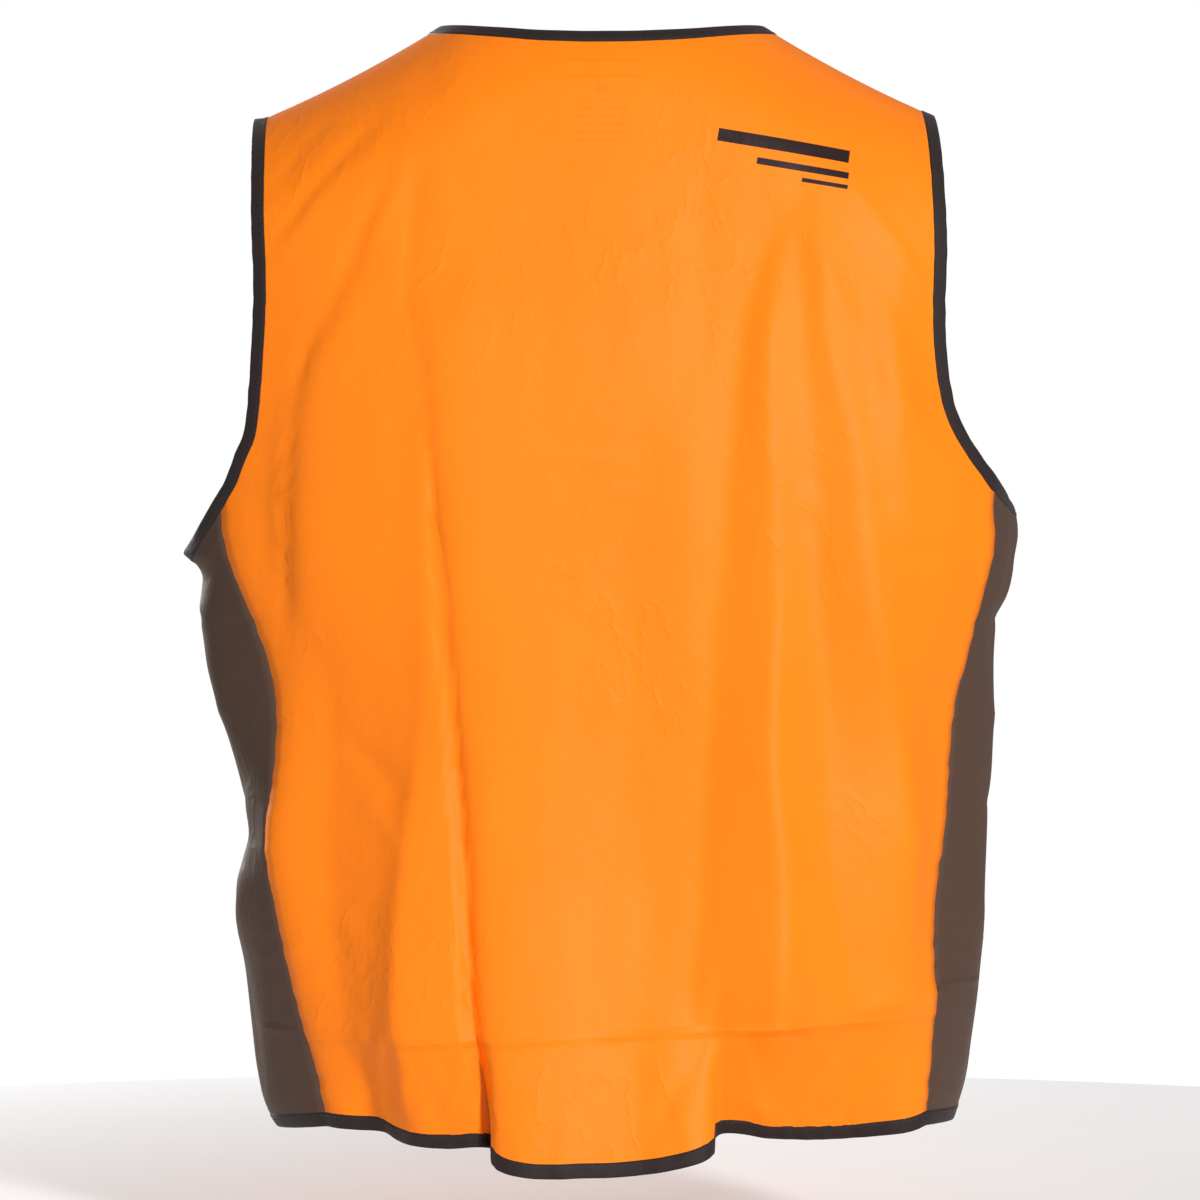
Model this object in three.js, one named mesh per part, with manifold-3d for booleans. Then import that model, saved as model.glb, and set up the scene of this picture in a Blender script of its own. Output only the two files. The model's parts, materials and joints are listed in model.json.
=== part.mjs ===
// Sleeveless blaze-orange over-vest in thin woven cloth: a back, two fronts and two side panels, with every
// free edge bound in folded tape, and a separating coil zip down the front.
// Millimetres, +Z up, front towards -Y, wearer's left towards +X.
// The origin is midway between the two neck points of the shoulders, where the vest hangs from its wearer.

import * as THREE from "three";
import { mergeVertices } from "three/addons/utils/BufferGeometryUtils.js";
import Module from "manifold-3d";

const wasm = await Module();
wasm.setup();

// ---------------------------------------------------------------- driving dimensions

const CLOTH = 1; // a panel's thickness as a plain solid
const SEAM_GAP = 0.4; // between two panels along a seam

const NECK_WIDTH = 218; // between the two neck points
const NECK_DROP_BACK = 11;
const NECK_DROP_FRONT = 120;
const NECK_RISE = 40; // how far the shoulder ridge would climb on to the middle of the neck hole

const SHOULDER_WIDTH = 450; // tip to tip
const SHOULDER_DROP = 60; // neck point to tip
const SHOULDER_SAG = 0.2; // 0 is a straight shoulder line
const ROLL_BACK = 90; // height over which the cloth rolls over the shoulder
const ROLL_FRONT = 80;

const UNDERARM_WIDTH = 554; // at the lowest point of the armholes
const UNDERARM_LEVEL = -350;
const SEAM_TOP_LEVEL = -312; // where a side seam meets the armhole
const ARM_FLARE = 24; // extra half width of the torso's form at the shoulder tips
const CHEST_CUT = 12; // how much deeper the front armhole is cut than the back one

const HEM_WIDTH = 462;
const HEM_SIDE_LEVEL = -727;
const HEM_DIP_BACK = 18; // how much lower the hem is at the centre
const HEM_DIP_FRONT = 10;
const TAPER = 1.25; // 1 is a straight taper from underarm to hem

const DEPTH_BACK = 140; // from the middle of the vest to the back panel
const DEPTH_FRONT = 138;
const NECK_DEPTH_BACK = 85; // the same at the height of the neck points
const NECK_DEPTH_FRONT = 80;
const BACK_BEND_LEVEL = -300; // above this the back leans forward
const CHEST_BEND_LEVEL = -125; // above this the chest leans back
const ROUNDNESS = 2.3; // 2 is an elliptical torso
const SIDE_PANEL_DEPTH = 136; // front to back, seam to seam

const TAPE_WIDTH = 8; // cover of the binding tape on each face of the cloth
const TAPE_WALL = 0.7;
const TAPE_GAP = 0.5; // between the binding and the cloth inside it

const ZIP_GAP = 13; // between the edges of the two fronts
const ZIP_CLEARANCE = 0.3;
const ZIP_TAPE_WIDTH = 14;
const ZIP_TAPE_THICKNESS = 0.7;
const CHAIN_GAP = 1.6; // between the two coils, where the slider's post runs
const COIL_WIDTH = 2.5;
const COIL_THICKNESS = 2.2;
const STOP_LENGTH = 4.5;
const PIN_LENGTH = 14;
const BOX_LENGTH = 10;
const BOX_WALL = 0.8;

const SLIDER_SWELL = 0.7; // how much wider its head is than its tail, on each side
const SLIDER_LENGTH = 12;
const SLIDER_PLATE = 1.1;
const SLIDER_FLANGE = 1;
const POST_LENGTH = 3;
const BAIL_LENGTH = 8;
const BAIL_WIDTH = 1.6;
const BAIL_BAR = 1.2;
const BAIL_OPENING = 2.2; // clear height under the bail

const PULL_WIDTH = 6.6;
const PULL_LENGTH = 30;
const PULL_THICKNESS = 1.3;
const PULL_BAR = 1.2; // the bar that turns under the bail
const PULL_EYE = 6.6; // from the turning axis to the lower end of the eye

// ---------------------------------------------------------------- materials

const cloth = (color) => new THREE.MeshStandardMaterial({ color, roughness: 0.75, metalness: 0 });
const blazeOrange = cloth(0xff8c1e);
const brownCloth = cloth(0x614a3c);
const darkTape = cloth(0x2d1c1a);
const coilNylon = new THREE.MeshStandardMaterial({ color: 0x241a18, roughness: 0.45, metalness: 0 });
const blackEnamel = new THREE.MeshStandardMaterial({ color: 0x1c1716, roughness: 0.35, metalness: 0.6 });

// ---------------------------------------------------------------- the form the cloth hangs on

const BACK = 1;
const FRONT = -1;
const neckHalf = NECK_WIDTH / 2;
const tipHalf = SHOULDER_WIDTH / 2;
const seamDepth = SIDE_PANEL_DEPTH / 2;
const frontEdge = ZIP_GAP / 2;
const rollOf = (side) => (side === BACK ? ROLL_BACK : ROLL_FRONT);
const depthOf = (side) => (side === BACK ? DEPTH_BACK : DEPTH_FRONT);
const hemDipOf = (side) => (side === BACK ? HEM_DIP_BACK : HEM_DIP_FRONT);

// Height of the shoulder ridge above a place across the body.
function ridge(x) {
  const across = Math.abs(x);
  if (across <= neckHalf) return NECK_RISE * (1 - (across / neckHalf) ** 2);
  const share = Math.min((across - neckHalf) / (tipHalf - neckHalf), 1);
  return -SHOULDER_DROP * share * (1 + SHOULDER_SAG * (1 - share));
}

// Half width of the torso at a height.
function halfWidth(z) {
  if (z > UNDERARM_LEVEL) {
    const share = (z - UNDERARM_LEVEL) / (-SHOULDER_DROP - UNDERARM_LEVEL);
    return UNDERARM_WIDTH / 2 + ARM_FLARE * share;
  }
  const share = Math.min((UNDERARM_LEVEL - z) / (UNDERARM_LEVEL - HEM_SIDE_LEVEL), 1);
  return HEM_WIDTH / 2 + ((UNDERARM_WIDTH - HEM_WIDTH) / 2) * (1 - share) ** TAPER;
}

// Distance of the cloth from the middle plane at the centre of the back or of the chest.
function centreDepth(side, z) {
  const bend = side === BACK ? BACK_BEND_LEVEL : CHEST_BEND_LEVEL;
  const neck = side === BACK ? NECK_DEPTH_BACK : NECK_DEPTH_FRONT;
  const share = Math.max((z - bend) / -bend, 0);
  return depthOf(side) - (depthOf(side) - neck) * share ** 2;
}

// The torso is a rounded section, rolled over at the shoulders. A place on it is its distance across, x,
// and its length g down the cloth from the shoulder ridge.
const rollLength = (side) => (rollOf(side) * Math.PI) / 2;

function levelAt(side, x, g) {
  const roll = rollOf(side);
  const turn = g / roll;
  const fall = g < rollLength(side) ? roll * (1 - Math.cos(turn)) : roll + g - rollLength(side);
  return ridge(x) - fall;
}

function lengthAt(side, x, z) {
  const roll = rollOf(side);
  const fall = Math.max(ridge(x) - z, 0);
  return fall < roll ? roll * Math.acos(1 - fall / roll) : rollLength(side) + fall - roll;
}

function torso(side, x, g) {
  const z = levelAt(side, x, g);
  const section = Math.max(1 - (Math.abs(x) / halfWidth(z)) ** ROUNDNESS, 0) ** (1 / ROUNDNESS);
  const turn = Math.sin(Math.min(g / rollOf(side), Math.PI / 2));
  return new THREE.Vector3(x, side * centreDepth(side, z) * section * turn, z);
}

// Distance across at which the torso's section has a given depth.
function acrossAt(side, depth, z) {
  return halfWidth(z) * (1 - (Math.abs(depth) / depthOf(side)) ** ROUNDNESS) ** (1 / ROUNDNESS);
}

const seamAcross = (side, z) => acrossAt(side, seamDepth + SEAM_GAP / 2, z);

// Edge of the armhole: nearly upright from the shoulder tip, then out to the side seam.
function armholeAcross(side, z) {
  const share = (-SHOULDER_DROP - z) / (-SHOULDER_DROP - SEAM_TOP_LEVEL);
  const out = seamAcross(side, SEAM_TOP_LEVEL) - tipHalf;
  const cut = side === FRONT ? CHEST_CUT * 4 * share * (1 - share) : 0;
  return tipHalf + out * (0.25 * share + 0.75 * share ** 5) - cut;
}

function hemLevel(side, x) {
  const share = Math.min(Math.abs(x) / seamAcross(side, HEM_SIDE_LEVEL), 1);
  return HEM_SIDE_LEVEL - hemDipOf(side) * (1 - share ** 2);
}

// ---------------------------------------------------------------- sheets of cloth

const GRAIN = 14; // spacing of the rows beside the armhole
const NECK_STEPS = 10;
const CROSS_STEPS = 7;
const LOWER_STEPS = 13;

// Evenly spaced values of t from 0 to 1 along a curve of places.
function spacedAlong(placeAt, steps) {
  const curve = new THREE.Curve();
  curve.getPoint = placeAt;
  curve.arcLengthDivisions = 400;
  return Array.from({ length: steps + 1 }, (_, i) => curve.getUtoTmapping(i / steps));
}

// A place moved within the torso's surface by a vector of space that lies about in it.
function shifted(side, place, move) {
  const small = 0.01;
  const at = torso(side, place.x, place.g);
  const alongX = torso(side, place.x + small, place.g).sub(at).divideScalar(small);
  const alongG = torso(side, place.x, place.g + small).sub(at).divideScalar(small);
  const xx = alongX.dot(alongX);
  const xg = alongX.dot(alongG);
  const gg = alongG.dot(alongG);
  const mx = alongX.dot(move);
  const mg = alongG.dot(move);
  const scale = 1 / (xx * gg - xg * xg);
  return { x: place.x + (mx * gg - mg * xg) * scale, g: place.g + (mg * xx - mx * xg) * scale };
}

// Places a width to the right of an edge as one goes along it, square to it in the cloth and seen from behind.
function insetFrom(side, edge, width) {
  const points = edge.map(({ x, g }) => torso(side, x, g));
  return edge.map((place, i) => {
    const before = points[Math.max(i - 1, 0)];
    const after = points[Math.min(i + 1, edge.length - 1)];
    const along = after.clone().sub(before).normalize();
    const down = torso(side, place.x, place.g + 0.01).sub(points[i]);
    const across = torso(side, place.x + 0.01, place.g).sub(points[i]);
    const normal = across.cross(down).normalize();
    return shifted(side, place, normal.cross(along).normalize().multiplyScalar(width));
  });
}

// One half of the back, or one front, on the wearer's left, as rows of places from the shoulder seam to the hem.
// The first place of a row is on the neckline, then on the centre edge; the last is on the armhole, then on the seam.
function halfPanel(side, innerEdge) {
  const start = SEAM_GAP / 2;
  const drop = side === BACK ? NECK_DROP_BACK : NECK_DROP_FRONT;
  const onNeck = (t) => {
    const turn = (t * Math.PI) / 2;
    const share = side === BACK ? Math.sin(turn) ** 2 : Math.sin(turn);
    const x = innerEdge + (neckHalf - innerEdge) * Math.cos(turn);
    return { x, g: Math.max(lengthAt(side, x, -drop * share), start) };
  };
  const onArmhole = (t) => {
    const z = -SHOULDER_DROP + (SEAM_TOP_LEVEL + SHOULDER_DROP) * t;
    const x = armholeAcross(side, z);
    return { x, g: Math.max(lengthAt(side, x, z), start) };
  };
  const asPoint = (placeAt) => (t) => {
    const { x, g } = placeAt(t);
    return torso(side, x, g);
  };

  const armSteps = Math.round((SEAM_TOP_LEVEL + SHOULDER_DROP) / -GRAIN);
  const neck = spacedAlong(asPoint(onNeck), NECK_STEPS).map(onNeck);
  const arm = spacedAlong(asPoint(onArmhole), armSteps).map(onArmhole);
  const neckInset = insetFrom(side, neck, -TAPE_WIDTH);
  const armInset = insetFrom(side, arm, TAPE_WIDTH);

  // Levels of the rows that start on the centre edge and end on the armhole, then of those that end on the seam.
  const neckLevel = levelAt(side, innerEdge, neck[NECK_STEPS].g);
  const rows = [];
  const centrePlace = (z) => ({ x: innerEdge, g: lengthAt(side, innerEdge, z) });
  const centreInset = (z) => ({ x: innerEdge + TAPE_WIDTH, g: lengthAt(side, innerEdge + TAPE_WIDTH, z) });
  for (let r = 0; r <= armSteps; r++) {
    if (r <= NECK_STEPS) {
      const first = r < NECK_STEPS ? neckInset[r] : centreInset(neckLevel - TAPE_WIDTH);
      rows.push([neck[r], first, armInset[r], arm[r]]);
      continue;
    }
    const share = (r - NECK_STEPS - 1) / (armSteps - NECK_STEPS - 1);
    const firstLevel = neckLevel - TAPE_WIDTH;
    const z = firstLevel + (SEAM_TOP_LEVEL - firstLevel) * share;
    rows.push([centrePlace(z), centreInset(r === NECK_STEPS + 1 ? z - TAPE_WIDTH : z), armInset[r], arm[r]]);
  }
  const corner = rows.length - 1;

  const onSeam = (z) => ({ x: seamAcross(side, z), g: lengthAt(side, seamAcross(side, z), z) });
  const lowerRow = (seamLevel, centreLevel) => {
    const nearSeam = seamAcross(side, seamLevel) - TAPE_WIDTH / 2;
    const levelOf = (x) => sweptLevel(side, x, centreLevel, seamLevel);
    const last = { x: nearSeam, g: lengthAt(side, nearSeam, levelOf(nearSeam)) };
    rows.push([centrePlace(centreLevel), centreInset(levelOf(innerEdge + TAPE_WIDTH)), last, onSeam(seamLevel)]);
  };
  const top = SEAM_TOP_LEVEL - TAPE_WIDTH;
  const seamEnd = HEM_SIDE_LEVEL + TAPE_WIDTH;
  const centreEnd = hemLevel(side, innerEdge) + TAPE_WIDTH;
  for (let r = 0; r <= LOWER_STEPS; r++) {
    const share = r / LOWER_STEPS;
    lowerRow(top + (seamEnd - top) * share, top + (centreEnd - top) * share);
  }
  lowerRow(HEM_SIDE_LEVEL, hemLevel(side, innerEdge));

  // The places between the two insets.
  const grid = rows.map(([edge, first, last, outer], r) => {
    const settled = Math.min(r / corner, 1);
    const zFirst = levelAt(side, first.x, first.g);
    const zLast = levelAt(side, last.x, last.g);
    const inner = [];
    for (let c = 1; c < CROSS_STEPS; c++) {
      const share = c / CROSS_STEPS;
      const x = first.x + (last.x - first.x) * share;
      const hung = levelAt(side, x, first.g + (last.g - first.g) * share);
      const swept = () => sweptLevel(side, x, levelAt(side, edge.x, edge.g), levelAt(side, outer.x, outer.g));
      const straight = r <= corner ? zFirst + (zLast - zFirst) * share : swept();
      inner.push({ x, g: lengthAt(side, x, hung + (straight - hung) * settled) });
    }
    return [edge, first, ...inner, last, outer];
  });
  return { grid, corner };
}

// Level of a place in a lower row, from the row's level at the centre to its level at the seam.
function sweptLevel(side, x, centreLevel, seamLevel) {
  const share = Math.min(Math.abs(x) / seamAcross(side, seamLevel), 1);
  return seamLevel + (centreLevel - seamLevel) * (1 - share ** 2);
}

// A sheet of cloth: places in space joined into quads, with each place's outward direction.
class Sheet {
  constructor() {
    this.points = [];
    this.quads = [];
    this.index = new Map();
  }

  // The same place is one corner of every quad that meets there.
  corner(point) {
    const key = point.toArray().map((v) => v.toFixed(3) * 1).join();
    if (!this.index.has(key)) {
      this.index.set(key, this.points.length);
      this.points.push(point.clone());
    }
    return this.index.get(key);
  }

  addGrid(grid, flip) {
    for (let r = 0; r + 1 < grid.length; r++) {
      for (let c = 0; c + 1 < grid[r].length; c++) {
        const quad = [grid[r][c], grid[r][c + 1], grid[r + 1][c + 1], grid[r + 1][c]];
        const corners = quad.map((p) => this.corner(p));
        this.quads.push(flip ? [corners[1], corners[0], corners[3], corners[2]] : corners);
      }
    }
    return this;
  }

  triangles() {
    return this.quads.flatMap(([a, b, c, d]) => [[a, b, c], [a, c, d]]);
  }

  normals() {
    const normals = this.points.map(() => new THREE.Vector3());
    for (const [a, b, c] of this.triangles()) {
      const [pa, pb, pc] = [a, b, c].map((i) => this.points[i]);
      const area = pb.clone().sub(pa).cross(pc.clone().sub(pa));
      for (const i of [a, b, c]) normals[i].add(area);
    }
    return normals.map((n) => n.normalize());
  }

  normalAt(point) {
    this.cached ??= this.normals();
    return this.cached[this.corner(point)];
  }

  // The closed solid of the sheet, with half its thickness on each side.
  solid(thickness) {
    const normals = this.normals();
    const count = this.points.length;
    const shift = (sign) => this.points.map((p, i) => p.clone().addScaledVector(normals[i], (sign * thickness) / 2));
    const faces = this.triangles();
    const edges = new Set(faces.flatMap(([a, b, c]) => [[a, b], [b, c], [c, a]].map((e) => e.join())));
    const rim = [...edges].map((e) => e.split(",").map(Number)).filter(([a, b]) => !edges.has([b, a].join()));
    const walls = rim.flatMap(([a, b]) => [[b, a, a + count], [b, a + count, b + count]]);
    const under = faces.map(([a, b, c]) => [a + count, c + count, b + count]);
    return closed([...shift(1), ...shift(-1)], [...faces, ...walls, ...under]);
  }
}

// ---------------------------------------------------------------- solids

// A geometry from corner points and triangles, turned to face outwards.
function closed(points, faces) {
  const volume = faces.reduce(
    (sum, [a, b, c]) => sum + points[a].dot(points[b].clone().cross(points[c])),
    0,
  );
  const outward = volume < 0 ? faces.map(([a, b, c]) => [a, c, b]) : faces;
  const geometry = new THREE.BufferGeometry().setFromPoints(points);
  return geometry.setIndex(outward.flat());
}

function toManifold(geometry) {
  const bare = geometry.clone();
  bare.deleteAttribute("normal");
  bare.deleteAttribute("uv");
  const merged = mergeVertices(bare, 1e-4);
  const triVerts = new Uint32Array(merged.index.array);
  const vertProperties = merged.attributes.position.array;
  return new wasm.Manifold(new wasm.Mesh({ numProp: 3, vertProperties, triVerts }));
}

function toGeometry(solid) {
  const mesh = solid.getMesh();
  const position = new THREE.BufferAttribute(mesh.vertProperties, 3);
  return new THREE.BufferGeometry()
    .setAttribute("position", position)
    .setIndex(new THREE.BufferAttribute(mesh.triVerts, 1));
}

const join = (first, ...rest) => toGeometry(rest.reduce((a, b) => a.add(toManifold(b)), toManifold(first)));
const cut = (first, ...rest) => toGeometry(rest.reduce((a, b) => a.subtract(toManifold(b)), toManifold(first)));

// A block between two corners, given as [x, out, z], where out is the distance in front of the middle plane.
function block([x0, out0, z0], [x1, out1, z1]) {
  const size = [Math.abs(x1 - x0), Math.abs(out1 - out0), Math.abs(z1 - z0)];
  return new THREE.BoxGeometry(...size).translate((x0 + x1) / 2, -(out0 + out1) / 2, (z0 + z1) / 2);
}

// ---------------------------------------------------------------- panels

const toPoints = (side, grid) => grid.map((row) => row.map(({ x, g }) => torso(side, x, g)));
const mirrored = (rows) => rows.map((row) => row.map((p) => new THREE.Vector3(-p.x, p.y, p.z)));

const backHalf = halfPanel(BACK, 0);
const frontHalf = halfPanel(FRONT, frontEdge);
const backLeft = toPoints(BACK, backHalf.grid);
const frontLeft = toPoints(FRONT, frontHalf.grid);

const backSheet = new Sheet().addGrid(backLeft, false).addGrid(mirrored(backLeft), true);
const frontSheet = new Sheet().addGrid(frontLeft, true);

// A side panel, from the back seam round to the front seam, as rows of points from the armhole to the hem.
const SIDE_COLUMNS = 8;
function sidePoints() {
  const edge = seamDepth - SEAM_GAP / 2;
  const columns = Array.from({ length: SIDE_COLUMNS + 1 }, (_, c) => edge - (2 * edge * c) / SIDE_COLUMNS);
  const armLevel = (y) => UNDERARM_LEVEL + (SEAM_TOP_LEVEL - UNDERARM_LEVEL) * (y / edge) ** 2;
  const place = (y, z) => new THREE.Vector3(acrossAt(y > 0 ? BACK : FRONT, y, z), y, z);
  const hemTop = HEM_SIDE_LEVEL + TAPE_WIDTH;
  const levels = (y) => {
    const first = armLevel(y) - TAPE_WIDTH;
    const middle = Array.from({ length: LOWER_STEPS + 1 }, (_, r) => first + ((hemTop - first) * r) / LOWER_STEPS);
    return [armLevel(y), ...middle, HEM_SIDE_LEVEL];
  };
  const rowCount = levels(0).length;
  return Array.from({ length: rowCount }, (_, r) => columns.map((y) => place(y, levels(y)[r])));
}
const sideLeft = sidePoints();
const sideSheet = new Sheet().addGrid(sideLeft, false);

// ---------------------------------------------------------------- bindings

// A station of a binding: a place on the cloth's edge, the place a tape's width inside it, and their normals.
const station = (sheet, edge, inside) => ({
  edge,
  inside,
  edgeNormal: sheet.normalAt(edge),
  insideNormal: sheet.normalAt(inside),
});

// One station for a place where two panels meet.
const between = (a, b) => ({
  edge: a.edge.clone().lerp(b.edge, 0.5),
  inside: a.inside.clone().lerp(b.inside, 0.5),
  edgeNormal: a.edgeNormal.clone().add(b.edgeNormal).normalize(),
  insideNormal: a.insideNormal.clone().add(b.insideNormal).normalize(),
});

const mirror = (p) => new THREE.Vector3(-p.x, p.y, p.z);
const mirrorStation = ({ edge, inside, edgeNormal, insideNormal }) => ({
  edge: mirror(edge),
  inside: mirror(inside),
  edgeNormal: mirror(edgeNormal),
  insideNormal: mirror(insideNormal),
});

// Folded tape round an edge: a channel that holds the cloth, swept through its stations.
function binding(stations, isLoop) {
  const slot = CLOTH / 2 + TAPE_GAP;
  const face = slot + TAPE_WALL;
  const PROFILE = 8;
  const points = stations.flatMap(({ edge, inside, edgeNormal, insideNormal }) => {
    const out = edge.clone().sub(inside).normalize();
    const atEdge = (reach, lift) => edge.clone().addScaledVector(out, reach).addScaledVector(edgeNormal, lift);
    const atInside = (lift) => inside.clone().addScaledVector(insideNormal, lift);
    const fold = TAPE_GAP + TAPE_WALL;
    return [
      atInside(face), atEdge(fold, face), atEdge(fold, -face), atInside(-face),
      atInside(-slot), atEdge(TAPE_GAP, -slot), atEdge(TAPE_GAP, slot), atInside(slot),
    ];
  });
  const faces = [];
  const steps = isLoop ? stations.length : stations.length - 1;
  for (let s = 0; s < steps; s++) {
    const here = s * PROFILE;
    const next = ((s + 1) % stations.length) * PROFILE;
    for (let k = 0; k < PROFILE; k++) {
      const l = (k + 1) % PROFILE;
      faces.push([here + k, here + l, next + l], [here + k, next + l, next + k]);
    }
  }
  if (!isLoop) {
    const end = (stations.length - 1) * PROFILE;
    for (const [a, b, c, d] of [[0, 1, 6, 7], [1, 2, 5, 6], [2, 3, 4, 5]]) {
      faces.push([a, c, b], [a, d, c], [end + a, end + b, end + c], [end + a, end + c, end + d]);
    }
  }
  return closed(points, faces);
}

const lastColumn = backLeft[0].length - 1;
const neckStation = (sheet, grid, r) => station(sheet, grid[r][0], grid[r][1]);
const armStation = (sheet, grid, r) => station(sheet, grid[r][lastColumn], grid[r][lastColumn - 1]);
const range = (from, to) => Array.from({ length: to - from }, (_, i) => from + i);

function neckStations() {
  const frontEnd = station(frontSheet, frontLeft[NECK_STEPS][0], frontLeft[NECK_STEPS + 1][0]);
  const backMiddle = station(backSheet, backLeft[NECK_STEPS][0], backLeft[NECK_STEPS + 1][0]);
  const seam = between(neckStation(frontSheet, frontLeft, 0), neckStation(backSheet, backLeft, 0));
  const left = [
    frontEnd,
    ...range(1, NECK_STEPS).map((r) => neckStation(frontSheet, frontLeft, r)).reverse(),
    seam,
    ...range(1, NECK_STEPS).map((r) => neckStation(backSheet, backLeft, r)),
  ];
  return [...left, backMiddle, ...left.map(mirrorStation).reverse()];
}

function armholeStations() {
  const { corner } = backHalf;
  const tip = between(armStation(backSheet, backLeft, 0), armStation(frontSheet, frontLeft, 0));
  const panelCorner = (sheet, grid) => station(sheet, grid[corner][lastColumn], grid[corner + 1][lastColumn]);
  const sideStation = (c) => station(sideSheet, sideLeft[0][c], sideLeft[1][c]);
  return [
    tip,
    ...range(1, corner).map((r) => armStation(backSheet, backLeft, r)),
    between(panelCorner(backSheet, backLeft), sideStation(0)),
    ...range(1, SIDE_COLUMNS).map(sideStation),
    between(sideStation(SIDE_COLUMNS), panelCorner(frontSheet, frontLeft)),
    ...range(1, corner).map((r) => armStation(frontSheet, frontLeft, r)).reverse(),
  ];
}

function hemStations() {
  const hem = (sheet, grid) => {
    const last = grid.length - 1;
    return grid[last].map((p, c) => station(sheet, p, grid[last - 1][c]));
  };
  const front = hem(frontSheet, frontLeft);
  const side = hem(sideSheet, sideLeft).reverse();
  const back = hem(backSheet, backLeft).reverse();
  const left = [
    ...front.slice(0, -1),
    between(front.at(-1), side[0]),
    ...side.slice(1, -1),
    between(side.at(-1), back[0]),
    ...back.slice(1, -1),
  ];
  return [...left, back.at(-1), ...left.map(mirrorStation).reverse()];
}

// ---------------------------------------------------------------- zip

// Distances in front of the middle plane, from the inside of the zip outwards.
const panelInside = DEPTH_FRONT - CLOTH / 2;
const tapeFront = panelInside - ZIP_CLEARANCE;
const tapeBack = tapeFront - ZIP_TAPE_THICKNESS;
const coilBack = tapeFront + ZIP_CLEARANCE;
const coilFront = coilBack + COIL_THICKNESS;
const topPlateBack = coilFront + ZIP_CLEARANCE;
const topPlateFront = topPlateBack + SLIDER_PLATE;
const lowerPlateFront = tapeBack - ZIP_CLEARANCE;
const lowerPlateBack = lowerPlateFront - SLIDER_PLATE;

// Levels along the zip, from the hem upwards and from the neck down.
const zipBottom = hemLevel(FRONT, frontEdge) + TAPE_WIDTH + SEAM_GAP;
const zipTop = -NECK_DROP_FRONT - TAPE_WIDTH - SEAM_GAP;
const boxTop = zipBottom + BOX_LENGTH;
const pinTop = boxTop + PIN_LENGTH - BOX_LENGTH;
const coilBottom = pinTop + ZIP_CLEARANCE;
const coilTop = zipTop - STOP_LENGTH - ZIP_CLEARANCE;
const sliderTop = coilTop - 1;
const sliderMiddle = sliderTop - SLIDER_LENGTH / 2;

const coilInner = CHAIN_GAP / 2;
const coilOuter = coilInner + COIL_WIDTH;
const boxOuter = coilOuter + ZIP_CLEARANCE + BOX_WALL;

// The wearer's left half of the zip is toward +X, which is sign 1.
function zipTape(sign) {
  const whole = block([sign * coilInner, tapeBack, zipBottom], [sign * ZIP_TAPE_WIDTH, tapeFront, zipTop]);
  if (sign < 0) return whole;
  const room = boxOuter + ZIP_CLEARANCE;
  const notch = [[0, tapeBack - 1, zipBottom - 1], [room, tapeFront + 1, boxTop + ZIP_CLEARANCE]];
  return cut(whole, block(...notch));
}

// An outline of [x, z] points made solid between two distances in front of the middle plane.
function plate(points, back, front) {
  const outline = new THREE.Shape(points.map(([x, z]) => new THREE.Vector2(x, z)));
  const slab = new THREE.ExtrudeGeometry(outline, { depth: front - back, bevelEnabled: false });
  return slab.rotateX(Math.PI / 2).translate(0, -back, 0);
}

// A bar along the zip whose section is an outline of [x, out] points; its front corners are bevelled.
function coil(sign) {
  const bevel = 0.5;
  const section = [
    [coilInner, coilBack],
    [coilOuter, coilBack],
    [coilOuter, coilFront - bevel],
    [coilOuter - bevel, coilFront],
    [coilInner + bevel, coilFront],
    [coilInner, coilFront - bevel],
  ];
  const outline = new THREE.Shape(section.map(([x, out]) => new THREE.Vector2(sign * x, -out)));
  const bar = new THREE.ExtrudeGeometry(outline, { depth: coilTop - coilBottom, bevelEnabled: false });
  return bar.translate(0, 0, coilBottom);
}

const topStop = (sign) =>
  block([sign * coilInner, coilBack, zipTop - STOP_LENGTH], [sign * (coilOuter + 0.4), coilFront, zipTop]);

// The pin that is sewn to the left tape and drops into the box.
const pinBottom = zipBottom + BOX_WALL + ZIP_CLEARANCE;
const insertionPin = () => block([coilInner, coilBack, pinBottom], [coilOuter, coilFront, pinTop]);

// The box on the right tape, with a pocket for the pin and its own fixed pin below the right coil.
function retainerBox() {
  const outside = [coilFront + ZIP_CLEARANCE + BOX_WALL, tapeBack - ZIP_CLEARANCE - BOX_WALL];
  const body = block([-boxOuter, outside[1], zipBottom], [boxOuter, outside[0], boxTop]);
  const fixedPin = block([-coilOuter, coilBack, zipBottom], [-coilInner, coilFront, pinTop]);
  const pocket = block(
    [coilInner - ZIP_CLEARANCE, coilBack - ZIP_CLEARANCE, zipBottom + BOX_WALL],
    [coilOuter + ZIP_CLEARANCE, coilFront + ZIP_CLEARANCE, boxTop + 1],
  );
  const tapeSlot = block(
    [-boxOuter - 1, tapeBack - ZIP_CLEARANCE, zipBottom - 1],
    [-coilInner + ZIP_CLEARANCE, tapeFront + ZIP_CLEARANCE / 2, boxTop + 1],
  );
  return cut(join(body, fixedPin), pocket, tapeSlot);
}

// Axis on which the pull turns, under the bail.
const pullAxisOut = topPlateFront + BAIL_OPENING / 2;

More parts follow.
